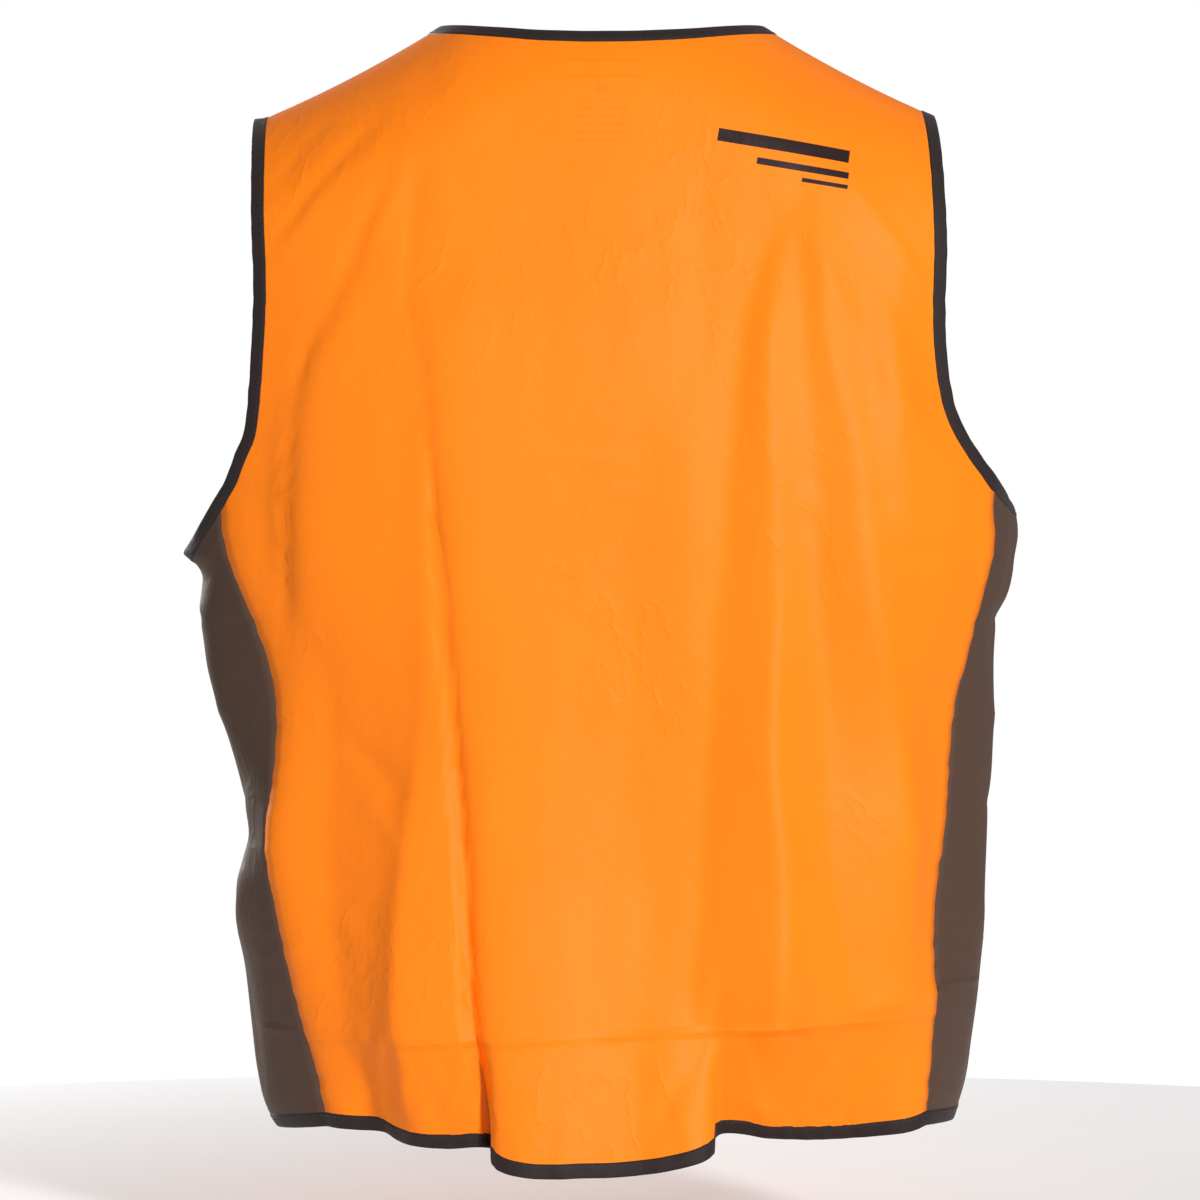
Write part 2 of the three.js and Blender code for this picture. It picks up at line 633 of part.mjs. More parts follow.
// Two plates joined by a post between the coils, with side flanges, and a bail on the front plate.
function sliderBody() {
  const waist = coilOuter + ZIP_CLEARANCE + SLIDER_FLANGE;
  const half = waist + SLIDER_SWELL;
  const low = sliderTop - SLIDER_LENGTH;
  const shoulder = sliderTop - SLIDER_LENGTH / 4;
  const rightSide = [
    [half - 1, sliderTop], [half, shoulder], [half, shoulder - 2], [waist, sliderMiddle - 2], [waist, low],
  ];
  const leftSide = rightSide.map(([x, z]) => [-x, z]).reverse();
  const outline = [...rightSide, ...leftSide];
  const frontPlate = plate(outline, topPlateBack, topPlateFront);
  const lowerPlate = plate(outline, lowerPlateBack, lowerPlateFront);
  const postHalf = coilInner - ZIP_CLEARANCE;
  const postTop = sliderTop - 1;
  const post = block(
    [-postHalf, lowerPlateFront - 0.5, postTop - POST_LENGTH],
    [postHalf, topPlateBack + 0.5, postTop],
  );
  const flanges = [-1, 1].map((sign) =>
    block([sign * (waist - SLIDER_FLANGE), tapeFront + ZIP_CLEARANCE, low], [sign * waist, topPlateFront, postTop]),
  );
  const bailTop = topPlateFront + BAIL_OPENING + BAIL_BAR;
  const bail = cut(
    block(
      [-BAIL_WIDTH / 2, topPlateFront - 0.5, sliderMiddle - BAIL_LENGTH / 2],
      [BAIL_WIDTH / 2, bailTop, sliderMiddle + BAIL_LENGTH / 2],
    ),
    block(
      [-BAIL_WIDTH, topPlateFront, sliderMiddle - BAIL_LENGTH / 2 + BAIL_BAR],
      [BAIL_WIDTH, topPlateFront + BAIL_OPENING, sliderMiddle + BAIL_LENGTH / 2 - BAIL_BAR],
    ),
  );
  return join(frontPlate, lowerPlate, post, ...flanges, bail);
}

// A tab with an eye; the bar at the top of the eye lies under the bail.
function pullTab() {
  const half = PULL_WIDTH / 2;
  const eyeHalf = BAIL_WIDTH / 2 + 0.8;
  const top = sliderMiddle + PULL_BAR / 2;
  const end = sliderMiddle - PULL_LENGTH;
  const back = pullAxisOut - PULL_THICKNESS / 2;
  const front = pullAxisOut + PULL_THICKNESS / 2;
  const round = 2;
  const outline = [
    [-half, top], [half, top], [half, end + round], [half - round, end], [round - half, end], [-half, end + round],
  ];
  const eye = block(
    [-eyeHalf, back - 1, sliderMiddle - PULL_EYE],
    [eyeHalf, front + 1, sliderMiddle - PULL_BAR / 2],
  );
  return cut(plate(outline, back, front), eye);
}

// ---------------------------------------------------------------- assembly

const group = new THREE.Group();

function add(name, geometry, material, parent = group) {
  const mesh = new THREE.Mesh(geometry, material);
  mesh.name = name;
  parent.add(mesh);
}

// The same piece on the wearer's right.
function addMirrored(name, geometry, material) {
  const points = [];
  const position = geometry.getAttribute("position");
  for (let i = 0; i < position.count; i++) points.push(mirror(new THREE.Vector3().fromBufferAttribute(position, i)));
  const corners = Array.from(geometry.getIndex().array);
  const faces = Array.from({ length: corners.length / 3 }, (_, i) => corners.slice(3 * i, 3 * i + 3));
  add(name, closed(points, faces), material);
}

add("back_panel", backSheet.solid(CLOTH), blazeOrange);
const frontSolid = frontSheet.solid(CLOTH);
add("front_panel_left", frontSolid, blazeOrange);
addMirrored("front_panel_right", frontSolid, blazeOrange);
const sideSolid = sideSheet.solid(CLOTH);
add("side_panel_left", sideSolid, brownCloth);
addMirrored("side_panel_right", sideSolid, brownCloth);

add("neck_binding", binding(neckStations(), false), darkTape);
const armholeBinding = binding(armholeStations(), true);
add("armhole_binding_left", armholeBinding, darkTape);
addMirrored("armhole_binding_right", armholeBinding, darkTape);
add("hem_binding", binding(hemStations(), false), darkTape);

const HANDS = { left: 1, right: -1 };
for (const [hand, sign] of Object.entries(HANDS)) {
  add(`zip_tape_${hand}`, zipTape(sign), darkTape);
  add(`zip_coil_${hand}`, coil(sign), coilNylon);
  add(`top_stop_${hand}`, topStop(sign), blackEnamel);
}
add("insertion_pin", insertionPin(), blackEnamel);
add("retainer_box", retainerBox(), blackEnamel);

const slider = new THREE.Group();
group.add(slider);
add("slider_body", sliderBody(), blackEnamel, slider);
add("pull_tab", pullTab(), blackEnamel, slider);

export default group;
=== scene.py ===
import json
import math

import bmesh
import bpy
import numpy as np
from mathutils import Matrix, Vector
from mathutils.bvhtree import BVHTree

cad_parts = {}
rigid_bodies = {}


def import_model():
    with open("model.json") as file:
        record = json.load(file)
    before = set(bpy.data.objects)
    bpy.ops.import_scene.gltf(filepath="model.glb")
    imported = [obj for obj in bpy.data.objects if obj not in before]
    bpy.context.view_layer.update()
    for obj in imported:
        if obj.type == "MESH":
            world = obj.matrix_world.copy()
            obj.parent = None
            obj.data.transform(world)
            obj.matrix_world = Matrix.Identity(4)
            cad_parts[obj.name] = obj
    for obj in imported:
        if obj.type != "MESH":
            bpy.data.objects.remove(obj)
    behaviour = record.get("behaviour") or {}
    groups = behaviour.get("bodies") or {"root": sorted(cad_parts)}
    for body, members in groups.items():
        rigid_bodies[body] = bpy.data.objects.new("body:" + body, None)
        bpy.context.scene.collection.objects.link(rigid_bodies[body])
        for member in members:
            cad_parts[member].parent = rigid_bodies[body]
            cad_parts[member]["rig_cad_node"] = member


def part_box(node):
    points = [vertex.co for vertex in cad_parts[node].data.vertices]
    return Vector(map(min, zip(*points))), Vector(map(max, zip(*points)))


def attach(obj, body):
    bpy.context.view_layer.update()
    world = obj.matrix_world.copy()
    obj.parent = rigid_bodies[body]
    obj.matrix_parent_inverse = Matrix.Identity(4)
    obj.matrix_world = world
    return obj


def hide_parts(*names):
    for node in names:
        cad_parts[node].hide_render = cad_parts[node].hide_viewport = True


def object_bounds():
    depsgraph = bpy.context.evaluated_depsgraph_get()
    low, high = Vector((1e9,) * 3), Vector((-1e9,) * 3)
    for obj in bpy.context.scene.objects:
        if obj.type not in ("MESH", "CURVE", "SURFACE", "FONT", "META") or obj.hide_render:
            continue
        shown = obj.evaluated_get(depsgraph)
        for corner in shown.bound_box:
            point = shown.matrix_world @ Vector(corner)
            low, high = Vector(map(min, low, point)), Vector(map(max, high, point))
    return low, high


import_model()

bl_info = {
    "name": "Blaze Over-Vest",
    "version": (1, 0, 0),
    "blender": (4, 5, 0),
    "location": "View3D > Sidebar > Vest",
    "description": "Sews a sleeveless blaze-orange over-vest with bound edges and a separating coil zip",
    "category": "Object",
}

# The cloth is worked out in millimetres, +Z up, back towards +Y, wearer's left towards +X,
# and turned into metres when a mesh is made.
LEFT, RIGHT = 1, -1
BACK, FRONT = 1, -1

# ---------------------------------------------------------------- sizes and colours


def box_of(node):
    """Lowest and highest corners of a node of the frame, in millimetres."""
    low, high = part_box(node)
    return np.array(low) * 1000, np.array(high) * 1000


CAD_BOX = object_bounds()


def length(name, description, default, low, high, digits):
    """One of the vest's lengths, in metres."""
    return bpy.props.FloatProperty(name=name, description=description, default=default, min=low, max=high,
                                   unit="LENGTH", precision=digits)


def tint(name, description, default):
    """One of the vest's colours."""
    return bpy.props.FloatVectorProperty(name=name, description=description, default=default, min=0, max=1,
                                         size=3, subtype="COLOR")


class VestSizes(bpy.types.PropertyGroup):
    cloth_thickness: length("Cloth Thickness", "Thickness of the woven cloth of the panels",
        default=0.0004, low=0.0001, high=0.002, digits=5)
    fold_depth: bpy.props.FloatProperty(
        name="Fold Depth", description="Depth of the folds as a share of the vest's own",
        default=1.0, min=0.0, max=1.5, subtype="FACTOR")
    grain: length("Grain", "Spacing of the rows in which the cloth is laid out",
        default=0.0045, low=0.003, high=0.02, digits=4)
    binding_cover: length("Binding Cover", "Width of the folded tape on each face of the cloth",
        default=0.0085, low=0.004, high=0.014, digits=4)
    binding_wall: length("Binding Wall", "Thickness of one layer of the binding tape",
        default=0.00055, low=0.0002, high=0.0012, digits=5)
    stitch_pitch: length("Stitch Pitch", "Distance from one stitch to the next",
        default=0.0032, low=0.002, high=0.01, digits=4)
    stitch_length: length("Stitch Length", "Length of the thread that shows in each stitch",
        default=0.0024, low=0.001, high=0.008, digits=4)
    thread_radius: length("Thread Radius", "Radius of the sewing thread",
        default=0.00022, low=0.0001, high=0.001, digits=5)
    turn_pitch: length("Turn Pitch", "Distance from one turn of a zip coil to the next",
        default=0.0016, low=0.001, high=0.003, digits=4)
    filament_radius: length("Filament Radius", "Radius of the nylon that the zip coils are wound from",
        default=0.00042, low=0.0002, high=0.0008, digits=5)


class VestColours(bpy.types.PropertyGroup):
    blaze: tint("Blaze Orange", "Colour of the back and the fronts", (0.93, 0.205, 0.0018))
    brown: tint("Brown", "Colour of the side panels", (0.074, 0.040, 0.026))
    tape: tint("Tape", "Colour of the binding and of the zip's tapes", (0.011, 0.0058, 0.0052))
    nylon: tint("Nylon", "Colour of the zip's coils and moulded ends", (0.014, 0.009, 0.008))
    enamel: tint("Enamel", "Colour of the slider and its pull", (0.012, 0.009, 0.0085))
    print_ink: tint("Print Ink", "Colour of the plain marks printed on the back", (0.020, 0.009, 0.008))


# ---------------------------------------------------------------- outline of the cloth

NECK_HALF, TIP_HALF = 109.0, 225.0
NECK_RISE, SHOULDER_DROP, SHOULDER_SAG = 40.0, 60.0, 0.2
ROLL = {BACK: 90.0, FRONT: 80.0}
DEPTH = {BACK: 140.0, FRONT: 138.0}
NECK_DEPTH = {BACK: 85.0, FRONT: 80.0}
BEND_LEVEL = {BACK: -300.0, FRONT: -125.0}
ROUNDNESS = 2.3
SEAM_DEPTH = 68.0
SHOULDER_WIDTH = 301.0
NECK_RUN = 190.0
FRONT_EDGE = 6.5
NECK_DROP = {BACK: 11.0, FRONT: 120.0}
CHEST_CUT = 12.0
FRONT_HEM_DROP, FRONT_HEM_HALF = 15.5, 190.0

# Level and distance across of each armhole's edge on the back, from the shoulder's tip to the side seam.
ARMHOLE = {
    LEFT: [(-60, 229.4), (-94, 227.6), (-141, 225.9), (-172, 224.4), (-224, 226.2), (-250, 228.2),
           (-273, 231.8),
           (-284.5, 237.2), (-298, 242.6), (-311, 250)],
    RIGHT: [(-60, 219.2), (-82, 220.4), (-116, 221.2), (-153, 221.8), (-191, 220.3), (-224, 221.5),
            (-250, 225.6),
            (-259.5, 228.6), (-274, 236.4), (-287.5, 246), (-300, 256.5)],
}
# Level and distance across of each side seam, from the armhole to the hem.
SEAM = {
    LEFT: [(-311, 250), (-320, 248.6), (-330, 248), (-343, 246), (-365, 239.3), (-389, 229.1), (-415, 219.5),
           (-432, 215), (-452, 213), (-477, 214), (-500, 216.3), (-518, 219.4), (-535, 220.8), (-550, 219.8),
           (-577, 214.6), (-619, 205.7), (-663, 194), (-682, 188.5), (-721, 182)],
    RIGHT: [(-300, 256.5), (-314, 254.3), (-326, 254.8), (-348, 254.8), (-360, 251.9), (-378, 247.3),
            (-397, 242),
            (-421, 236.3), (-438, 231), (-459, 227.8), (-484, 225.6), (-512, 223.9), (-535, 221.3),
            (-555, 218),
            (-575, 215.6), (-599, 214.8), (-626, 216.1), (-640, 217.8), (-654, 216), (-676, 215.2),
            (-703, 213.7),
            (-720, 213.2)],
}
# Level and distance across of the outermost line of each side panel.
FLANK = {
    LEFT: [(-349, 276.5), (-354, 270), (-360, 265.5), (-373, 265.6), (-386, 268), (-405, 265.3),
           (-424, 262.7),
           (-445, 256.7), (-463, 250.7), (-490, 243.4), (-515, 238.6), (-534, 235.2), (-552, 239),
           (-564, 241.8),
           (-577, 242), (-624, 236.4), (-664, 232), (-693, 228.6), (-709, 225.2), (-721, 220), (-728, 215)],
    RIGHT: [(-313, 271), (-323, 274.6), (-334, 275.6), (-352, 272.7), (-360, 271.8), (-373, 269),
            (-391, 261.8),
            (-399, 260.7), (-445, 259.4), (-507, 258.7), (-530, 256.8), (-565, 254.7), (-612, 252),
            (-630, 251.2),
            (-671, 246), (-699, 241.6), (-711, 238), (-722, 234)],
}
# Distance across and level of the back's hem.
HEM_BACK = [(182, -721), (165, -721.5), (148, -722.5), (139, -726), (124, -728), (97, -729), (78, -727.8),
            (72.5, -729), (68, -737), (62, -740.5), (50, -743.4), (11, -744.5), (-14, -744), (-31, -742),
            (-55, -736.5), (-65, -733), (-71, -729), (-75.5, -721.5), (-80, -720.3), (-94, -720.8),
            (-110, -724),
            (-127, -725.5), (-159, -727), (-180, -727), (-193, -725.5), (-206, -722.6), (-213.2, -720)]
UNDERARM_LEVEL = {LEFT: -349.0, RIGHT: -316.0}
SIDE_HEM_LEVEL = {LEFT: -727.0, RIGHT: -721.0}


def through(rows):
    """A smooth function through rows of a place and its value, held at its end values beyond them."""
    places, values = np.array(sorted(rows), float).T
    slopes = np.gradient(values, places)

    def at(place):
        place = np.clip(place, places[0], places[-1])
        k = np.clip(np.searchsorted(places, place) - 1, 0, len(places) - 2)
        gap = places[k + 1] - places[k]
        t = (place - places[k]) / gap
        return (values[k] * (1 + 2 * t) * (1 - t) ** 2 + values[k + 1] * t * t * (3 - 2 * t)
                + gap * (slopes[k] * t * (1 - t) ** 2 - slopes[k + 1] * t * t * (1 - t)))
    return at


ARMHOLE_AT = {wing: through(rows) for wing, rows in ARMHOLE.items()}
SEAM_AT = {wing: through(rows) for wing, rows in SEAM.items()}
FLANK_AT = {wing: through(rows) for wing, rows in FLANK.items()}
HEM_BACK_AT = through(HEM_BACK)
SEAM_TOP = {wing: rows[0][0] for wing, rows in SEAM.items()}
SEAM_END = {wing: rows[-1][0] for wing, rows in SEAM.items()}


def hem_front_at(x):
    wing = np.where(x > 0, SEAM_END[LEFT], SEAM_END[RIGHT])
    return wing - FRONT_HEM_DROP * (1 - np.minimum(np.abs(x) / FRONT_HEM_HALF, 1) ** 2)


HEM_AT = {BACK: HEM_BACK_AT, FRONT: hem_front_at}


def smooth_step(t):
    t = np.clip(t, 0, 1)
    return t * t * (3 - 2 * t)


# ---------------------------------------------------------------- form the cloth hangs on


def ridge(x):
    """Height of the shoulder ridge."""
    across = np.abs(x)
    share = np.clip((across - NECK_HALF) / (TIP_HALF - NECK_HALF), 0, 1)
    outside = -SHOULDER_DROP * share * (1 + SHOULDER_SAG * (1 - share))
    return np.where(across <= NECK_HALF, NECK_RISE * (1 - (across / NECK_HALF) ** 2), outside)


def half_width(side, x, z):
    """Half width of the torso's section, which passes through the side seams."""
    share = (1 - (SEAM_DEPTH / DEPTH[side]) ** ROUNDNESS) ** (1 / ROUNDNESS)
    widths = {}
    for wing in (LEFT, RIGHT):
        top = SEAM_TOP[wing]
        at_top = SEAM_AT[wing](top) / share
        above = at_top + (SHOULDER_WIDTH - at_top) * (z - top) / (-SHOULDER_DROP - top)
        widths[wing] = np.where(z > top, above, SEAM_AT[wing](z) / share)
    return np.where(x > 0, widths[LEFT], widths[RIGHT])


def centre_depth(side, z):
    share = np.maximum((z - BEND_LEVEL[side]) / -BEND_LEVEL[side], 0)
    return DEPTH[side] - (DEPTH[side] - NECK_DEPTH[side]) * share ** 2


def level_at(side, x, g):
    roll = ROLL[side]
    rolled = roll * math.pi / 2
    turned = roll * (1 - np.cos(np.minimum(g, rolled) / roll))
    return ridge(x) - np.where(g < rolled, turned, roll + g - rolled)


def length_at(side, x, z):
    roll = ROLL[side]
    fall = np.maximum(ridge(x) - z, 0)
    turned = roll * np.arccos(np.clip(1 - fall / roll, -1, 1))
    return np.where(fall < roll, turned, roll * math.pi / 2 + fall - roll)


def bare_torso(side, x, g):
    """Place on the smooth form, a distance x across and a length g of cloth down from the shoulder ridge."""
    x, g = np.broadcast_arrays(np.asarray(x, float), np.asarray(g, float))
    z = level_at(side, x, g)
    section = np.maximum(1 - (np.abs(x) / half_width(side, x, z)) ** ROUNDNESS, 0) ** (1 / ROUNDNESS)
    turn = np.sin(np.minimum(g / ROLL[side], math.pi / 2))
    return np.stack([x, side * centre_depth(side, z) * section * turn, z], axis=-1)


# ---------------------------------------------------------------- folds


def column(rows, k, z):
    """Value number k of a fold's rows, at any level."""
    return through([(row[0], row[k]) for row in rows])(z)


def soft_ridge(x, z, rows, left, right):
    """A ridge, or a valley where its height is negative, that runs down the cloth. Rows give its level,
    place across and height; left and right are its breadth on the wearer's left and right."""
    offset = x - column(rows, 1, z)
    height = column(rows, 2, z)
    return height * np.exp(-(offset / np.where(offset > 0, left, right)) ** 2)


def slanted(x, z, start, end, height, breadth):
    """A ridge along a straight line between two places, that dies away at both ends."""
    (x0, z0), (x1, z1) = start, end
    length = math.hypot(x1 - x0, z1 - z0)
    along = ((x - x0) * (x1 - x0) + (z - z0) * (z1 - z0)) / length ** 2
    aside = ((x - x0) * (z1 - z0) - (z - z0) * (x1 - x0)) / length
    fade = smooth_step((along + 0.15) / 0.4) * smooth_step((1.15 - along) / 0.4)
    return height * fade * np.exp(-(np.sqrt(aside ** 2 + 1.5) - 1.2) / breadth)


def ripples(x, z, seed, across, down, height, count=9):
    """Slow uneven waves, of the same shape each time for one seed."""
    rng = np.random.default_rng(seed)
    total = 0
    for _ in range(count):
        kx = rng.uniform(0.6, 1.5) * 2 * math.pi / across
        kz = rng.uniform(-1.2, 1.2) * 2 * math.pi / down
        total = total + np.sin(kx * x + kz * z + rng.uniform(0, 2 * math.pi))
    return height * total / math.sqrt(count)


def pleat(x, z, rows, left, right, round_over=1.6):
    """A fold with a crisp crest, or a crisp valley where its height is negative. Rows are a soft ridge's."""
    offset = x - column(rows, 1, z)
    height = column(rows, 2, z)
    reach = np.sqrt(offset ** 2 + round_over ** 2) - round_over
    return height * np.exp(-reach / np.where(offset > 0, left, right))


def set_back(x, z, rows, recover, edge=2.0):
    """Cloth that drops back on the wearer's right of a line, and comes forward again further on."""
    offset = column(rows, 1, z) - x
    drop = column(rows, 2, z)
    return -drop * (0.5 + 0.5 * np.tanh(offset / edge)) * np.exp(-np.maximum(offset, 0) / recover)


def lap(x, z, rows, steep, gather, recover, edge=1.5):
    """One fold lapping over the next. Rows are level, where the upper layer ends, where its swelling begins,
    how far the cloth comes forward beyond the end, and how far the swelling stands out."""
    end = column(rows, 1, z)
    crest = column(rows, 2, z)
    rise = column(rows, 3, z)
    swelling = column(rows, 4, z)
    over = np.maximum(x - np.maximum(crest, end), 0)
    under = 0.5 + 0.5 * np.tanh((end - x) / edge)
    beyond = np.maximum(end - x, 0)
    rest = swelling * np.exp(-(np.sqrt(over ** 2 + 2.0) - 1.4) / gather) * (1 - under)
    return rest + rise * (1 - np.exp(-beyond / steep)) * np.exp(-beyond / recover)


def ramp(x, z, rows, recover, edge=2.5):
    """Cloth that comes evenly forward to a crest and sinks back beyond it.
    Rows are level, foot, crest and height."""
    foot = column(rows, 1, z)
    crest = column(rows, 2, z)
    height = column(rows, 3, z)
    run = foot - crest
    up = softened(foot - x, edge) - softened(crest - x, edge)
    return height * up / run * np.exp(-softened(crest - x, edge) / recover)


def softened(distance, edge):
    """The distance where it is above 0, with the corner at 0 rounded."""
    return 0.5 * (distance + np.sqrt(distance ** 2 + edge ** 2))


# Each fold of the back, with its levels from the top down.
END_FOLD = [(-168, 124.6, 124.1, 0, 0), (-207, 118.9, 118.4, 5.2, 0), (-245, 113.8, 114.6, 6.5, 1.4),
            (-283, 111, 113, 8.5, 2.7), (-379, 104, 113, 13, 6.1), (-475, 97, 118.1, 15.6, 9.5),
            (-570, 90, 129.6, 18.2, 14.3), (-634, 85.5, 129.6, 19.5, 15.9), (-698, 77.2, 124.5, 20.8, 15.9),
            (-736, 74, 121.9, 20.8, 15.1)]
SIDE_FOLD = [(-156, 172.4, 172.4, 0, 0), (-207, 189.7, 190.9, 5.4, 1), (-245, 198, 199.2, 8.1, 2.5),
             (-283, 203.1, 204.3, 10.8, 4), (-379, 208.8, 210.1, 12.2, 4), (-436, 212, 212.6, 6.8, 2),
             (-487, 215.8, 216.5, 0, 0)]
RIGHT_FOLD = [(-124, -119.9, -126.3, 0), (-162, -102.1, -114.8, 4), (-207, -90.6, -105.9, 8),
              (-283, -84.2, -105.9, 12), (-379, -74.6, -109.7, 17.6), (-475, -67.6, -105.9, 25.9),
              (-570, -63.8, -112.3, 29.2), (-634, -58.7, -111, 28.1), (-672, -66.4, -111, 15.1),
              (-736, -72.7, -111, 0)]
OUTER_FOLD = [(-92, -126.3, -135.9, 0), (-137, -126.3, -139.1, 6.2), (-207, -127.6, -141.6, 7.9),
              (-283, -131.4, -158.2, 14.1), (-379, -135.9, -169.7, 22), (-475, -145.5, -185, 23.2),
              (-570, -148.7, -199.1, 27.8), (-634, -163.3, -199.1, 18.6), (-736, -171, -199.7, 7)]
SHORT_FOLD = [(-156, -165.9, -177.4, 0), (-207, -167.2, -181.2, 5), (-283, -169.7, -187.6, 5.8),
              (-353, -174.8, -195.2, 0)]
MIDDLE_FOLD = [(-239, -24.2, -62.5, 0), (-283, -24.2, -56.1, 2.4), (-475, -25.5, -62.5, 3.3),
               (-570, -27.4, -62.5, 3),
               (-641, -24.2, -56.1, 2.4), (-685, -21.7, -52.3, 9), (-736, -20.4, -56.1, 12)]
LOWER_FOLD = [(-560, 214, 130, 0), (-634, 208, 134, 10), (-735, 204, 124, 16)]

FLAP_LEFT, FLAP_RIGHT = 71.5, -72.0


def back_folds(x, z):
    folds = lap(x, z, END_FOLD, 8, 17, 130, 1.3)
    folds = folds + lap(x, z, SIDE_FOLD, 9, 9, 62, 0.9)
    folds = folds + ramp(x, z, RIGHT_FOLD, 46)
    folds = folds + ramp(x, z, OUTER_FOLD, 70, 4)
    folds = folds + ramp(x, z, SHORT_FOLD, 24)
    folds = folds + ramp(x, z, MIDDLE_FOLD, 60) - 15 * smooth_step((-190 - z) / 330)
    folds = folds + ramp(x, z, LOWER_FOLD, 200, 8)
    folds = folds + set_back(x, z, [(-600, -69, 0), (-650, -70, 4), (-690, -72, 9), (-735, -74, 12)], 46, 1.6)
    # Below the crease left by packing, the sides of the hem turn in and its middle stands out a little.
    middle = (0.5 + 0.5 * np.tanh((FLAP_LEFT - x) / 2.2)) * (0.5 + 0.5 * np.tanh((x - FLAP_RIGHT) / 2.2))
    left_crease = -660 + 2.2 * np.sin(x / 9.0) + 1.6 * np.sin(x / 4.1 + 1)
    right_crease = -636 - (x + 213) * 0.17 + 2.0 * np.sin(x / 11.0) + 1.4 * np.sin(x / 5.3)
    crease = np.where(x > 0, left_crease, right_crease)
    folds = folds - 0.27 * np.maximum(crease - z, 0) * (1 - middle)
    folds = folds + 0.05 * np.maximum(-668 + 0.8 * np.sin(x / 13.0) - z, 0) * middle
    folds = folds + 0.8 * np.exp(-np.abs(crease - z) / 3.0) * (1 - middle)
    # The cloth is drawn from the shoulders down towards the armholes, and from the flap's edge inwards.
    for start, end, height, breadth in (
            ((196, -64), (220, -86), -1.6, 4), ((173, -59), (217, -116), -2.4, 5),
        ((148, -68), (218, -154), -3.2, 6),
            ((166, -92), (220, -176), 1.8, 6), ((140, -112), (200, -244), -3.2, 6),
        ((126, -96), (176, -214), 2.0, 7),
            ((150, -150), (178, -214), -2.6, 5), ((118, -98), (126, -196), -1.6, 4),
        ((-128, -116), (-172, -216), -1.6, 8),
            ((-150, -104), (-214, -184), 2.2, 7), ((-134, -112), (-208, -226), -2.0, 9),
            ((-168, -88), (-214, -140), -1.6, 6), ((-120, -130), (-196, -262), 1.6, 10),
            ((-170, -98), (-206, -170), -1.2, 4), ((-62, -96), (-64, -220), -1.0, 7),
            ((-176, -352), (-246, -342), -1.5, 3), ((-182, -318), (-238, -352), 1.5, 5),
            ((173, -468), (128, -505), -2.0, 4), ((158, -508), (130, -540), 1.4, 4),
        ((204, -560), (150, -610), 1.2, 6),
            ((-74, -640), (-34, -716), -3.2, 7), ((-82, -690), (-126, -722), 2.4, 6),
            ((-90, -318), (-82, -302), 1.5, 3), ((-128, -306), (-134, -322), 1.6, 3),
            ((68, -286), (-20, -292), 0.9, 2.5), ((-2, -310), (-40, -312), 0.9, 2.5)):
        folds = folds + slanted(x, z, start, end, height, breadth)
    below = smooth_step((-640 - z) / 30)
    folds = folds + ripples(x, z, 11, 120, 460, 0.6) + ripples(x, z, 5, 46, 150, 0.16)
    return folds + below * (1 - middle) * ripples(x, z, 31, 19, 34, 0.7)


def front_folds(x, z):
    folds = 0
    for sign, shift in ((1.0, 0.0), (-1.0, 9.0)):
        here = np.where(x * sign > 0, 1.0, 0.0)
        a = np.abs(x)
        part = pleat(a, z, [(-170, 116 + shift, 0), (-300, 108 + shift, 3.6), (-470, 97 + shift, 6.4),
                            (-600, 90 + shift, 8.4), (-737, 84 + shift, 9.6)], 26, 60)
        part = part + soft_ridge(a, z, [(-300, 70 + shift, 0), (-480, 62 + shift, -2.4), (-737, 54, -4)],
                                 16, 17)
        part = part + pleat(a, z, [(-330, 150 + shift, 0), (-480, 142 - shift, -3), (-737, 132, -5)], 18,
                            13, 3)
        part = part + pleat(a, z, [(-250, 190 - shift, 0), (-360, 188 - shift, 2.4), (-520, 176, 3.4),
                                   (-737, 162, 4.4)], 12, 28)
        part = part + soft_ridge(a, z, [(-430, 38, 0), (-600, 38 + shift / 2, 1.8), (-737, 36, 3)], 11, 13)
        crease = -664 + 2.0 * np.sin(a / 8.0 + shift) + 1.3 * np.sin(a / 3.9)
        part = part - 0.07 * np.maximum(crease - z, 0) * smooth_step((a - 60) / 40)
        part = part + 0.5 * np.exp(-np.abs(crease - z) / 3.0)
        for start, end, height, breadth in (
                ((150, -60), (212, -126), 2.4, 8), ((134, -72), (208, -176), 2.8, 9),
            ((118, -84), (200, -226), -2, 11),
                ((168, -60), (214, -98), -1.5, 7), ((100, -104), (182, -262), 1.8, 12),
            ((72, -150), (152, -320), -1.5, 15),
                ((40, -180), (96, -300), 1.2, 14)):
            part = part + slanted(a, z, (start[0], start[1] - shift), (end[0], end[1] - shift), height,
                                  breadth)
        folds = folds + here * part
    return folds + ripples(x, z, 23, 110, 420, 0.7) + ripples(x, z, 9, 44, 150, 0.18)


FOLDS = {BACK: back_folds, FRONT: front_folds}


def from_edge(x, z):
    """How far a place lies in from the armhole or the side seam."""
    wings = np.where(x > 0, LEFT, RIGHT)
    edge = np.zeros_like(z)
    for wing in (LEFT, RIGHT):
        cut = np.where(z > SEAM_TOP[wing], ARMHOLE_AT[wing](z), SEAM_AT[wing](z))
        edge = np.where(wings == wing, cut, edge)
    return np.maximum(edge - np.abs(x), 0)


def puckers(x, z, side):
    """Small gathers where the cloth is sewn at the armholes, the side seams and the hem."""
    inside = from_edge(x, z)
    rng = np.random.default_rng(3)
    wave = sum(np.sin(z * 2 * math.pi / p + rng.uniform(0, 6.28)) for p in (13.0, 17.5, 23.0))
    at_side = 0.2 * wave * np.exp(-inside / 13)
    above = np.maximum(z - HEM_AT[side](x), 0)
    wave = sum(np.sin(x * 2 * math.pi / p + rng.uniform(0, 6.28)) for p in (15.0, 21.0, 28.0))
    return at_side + 0.34 * wave * np.exp(-above / 16)


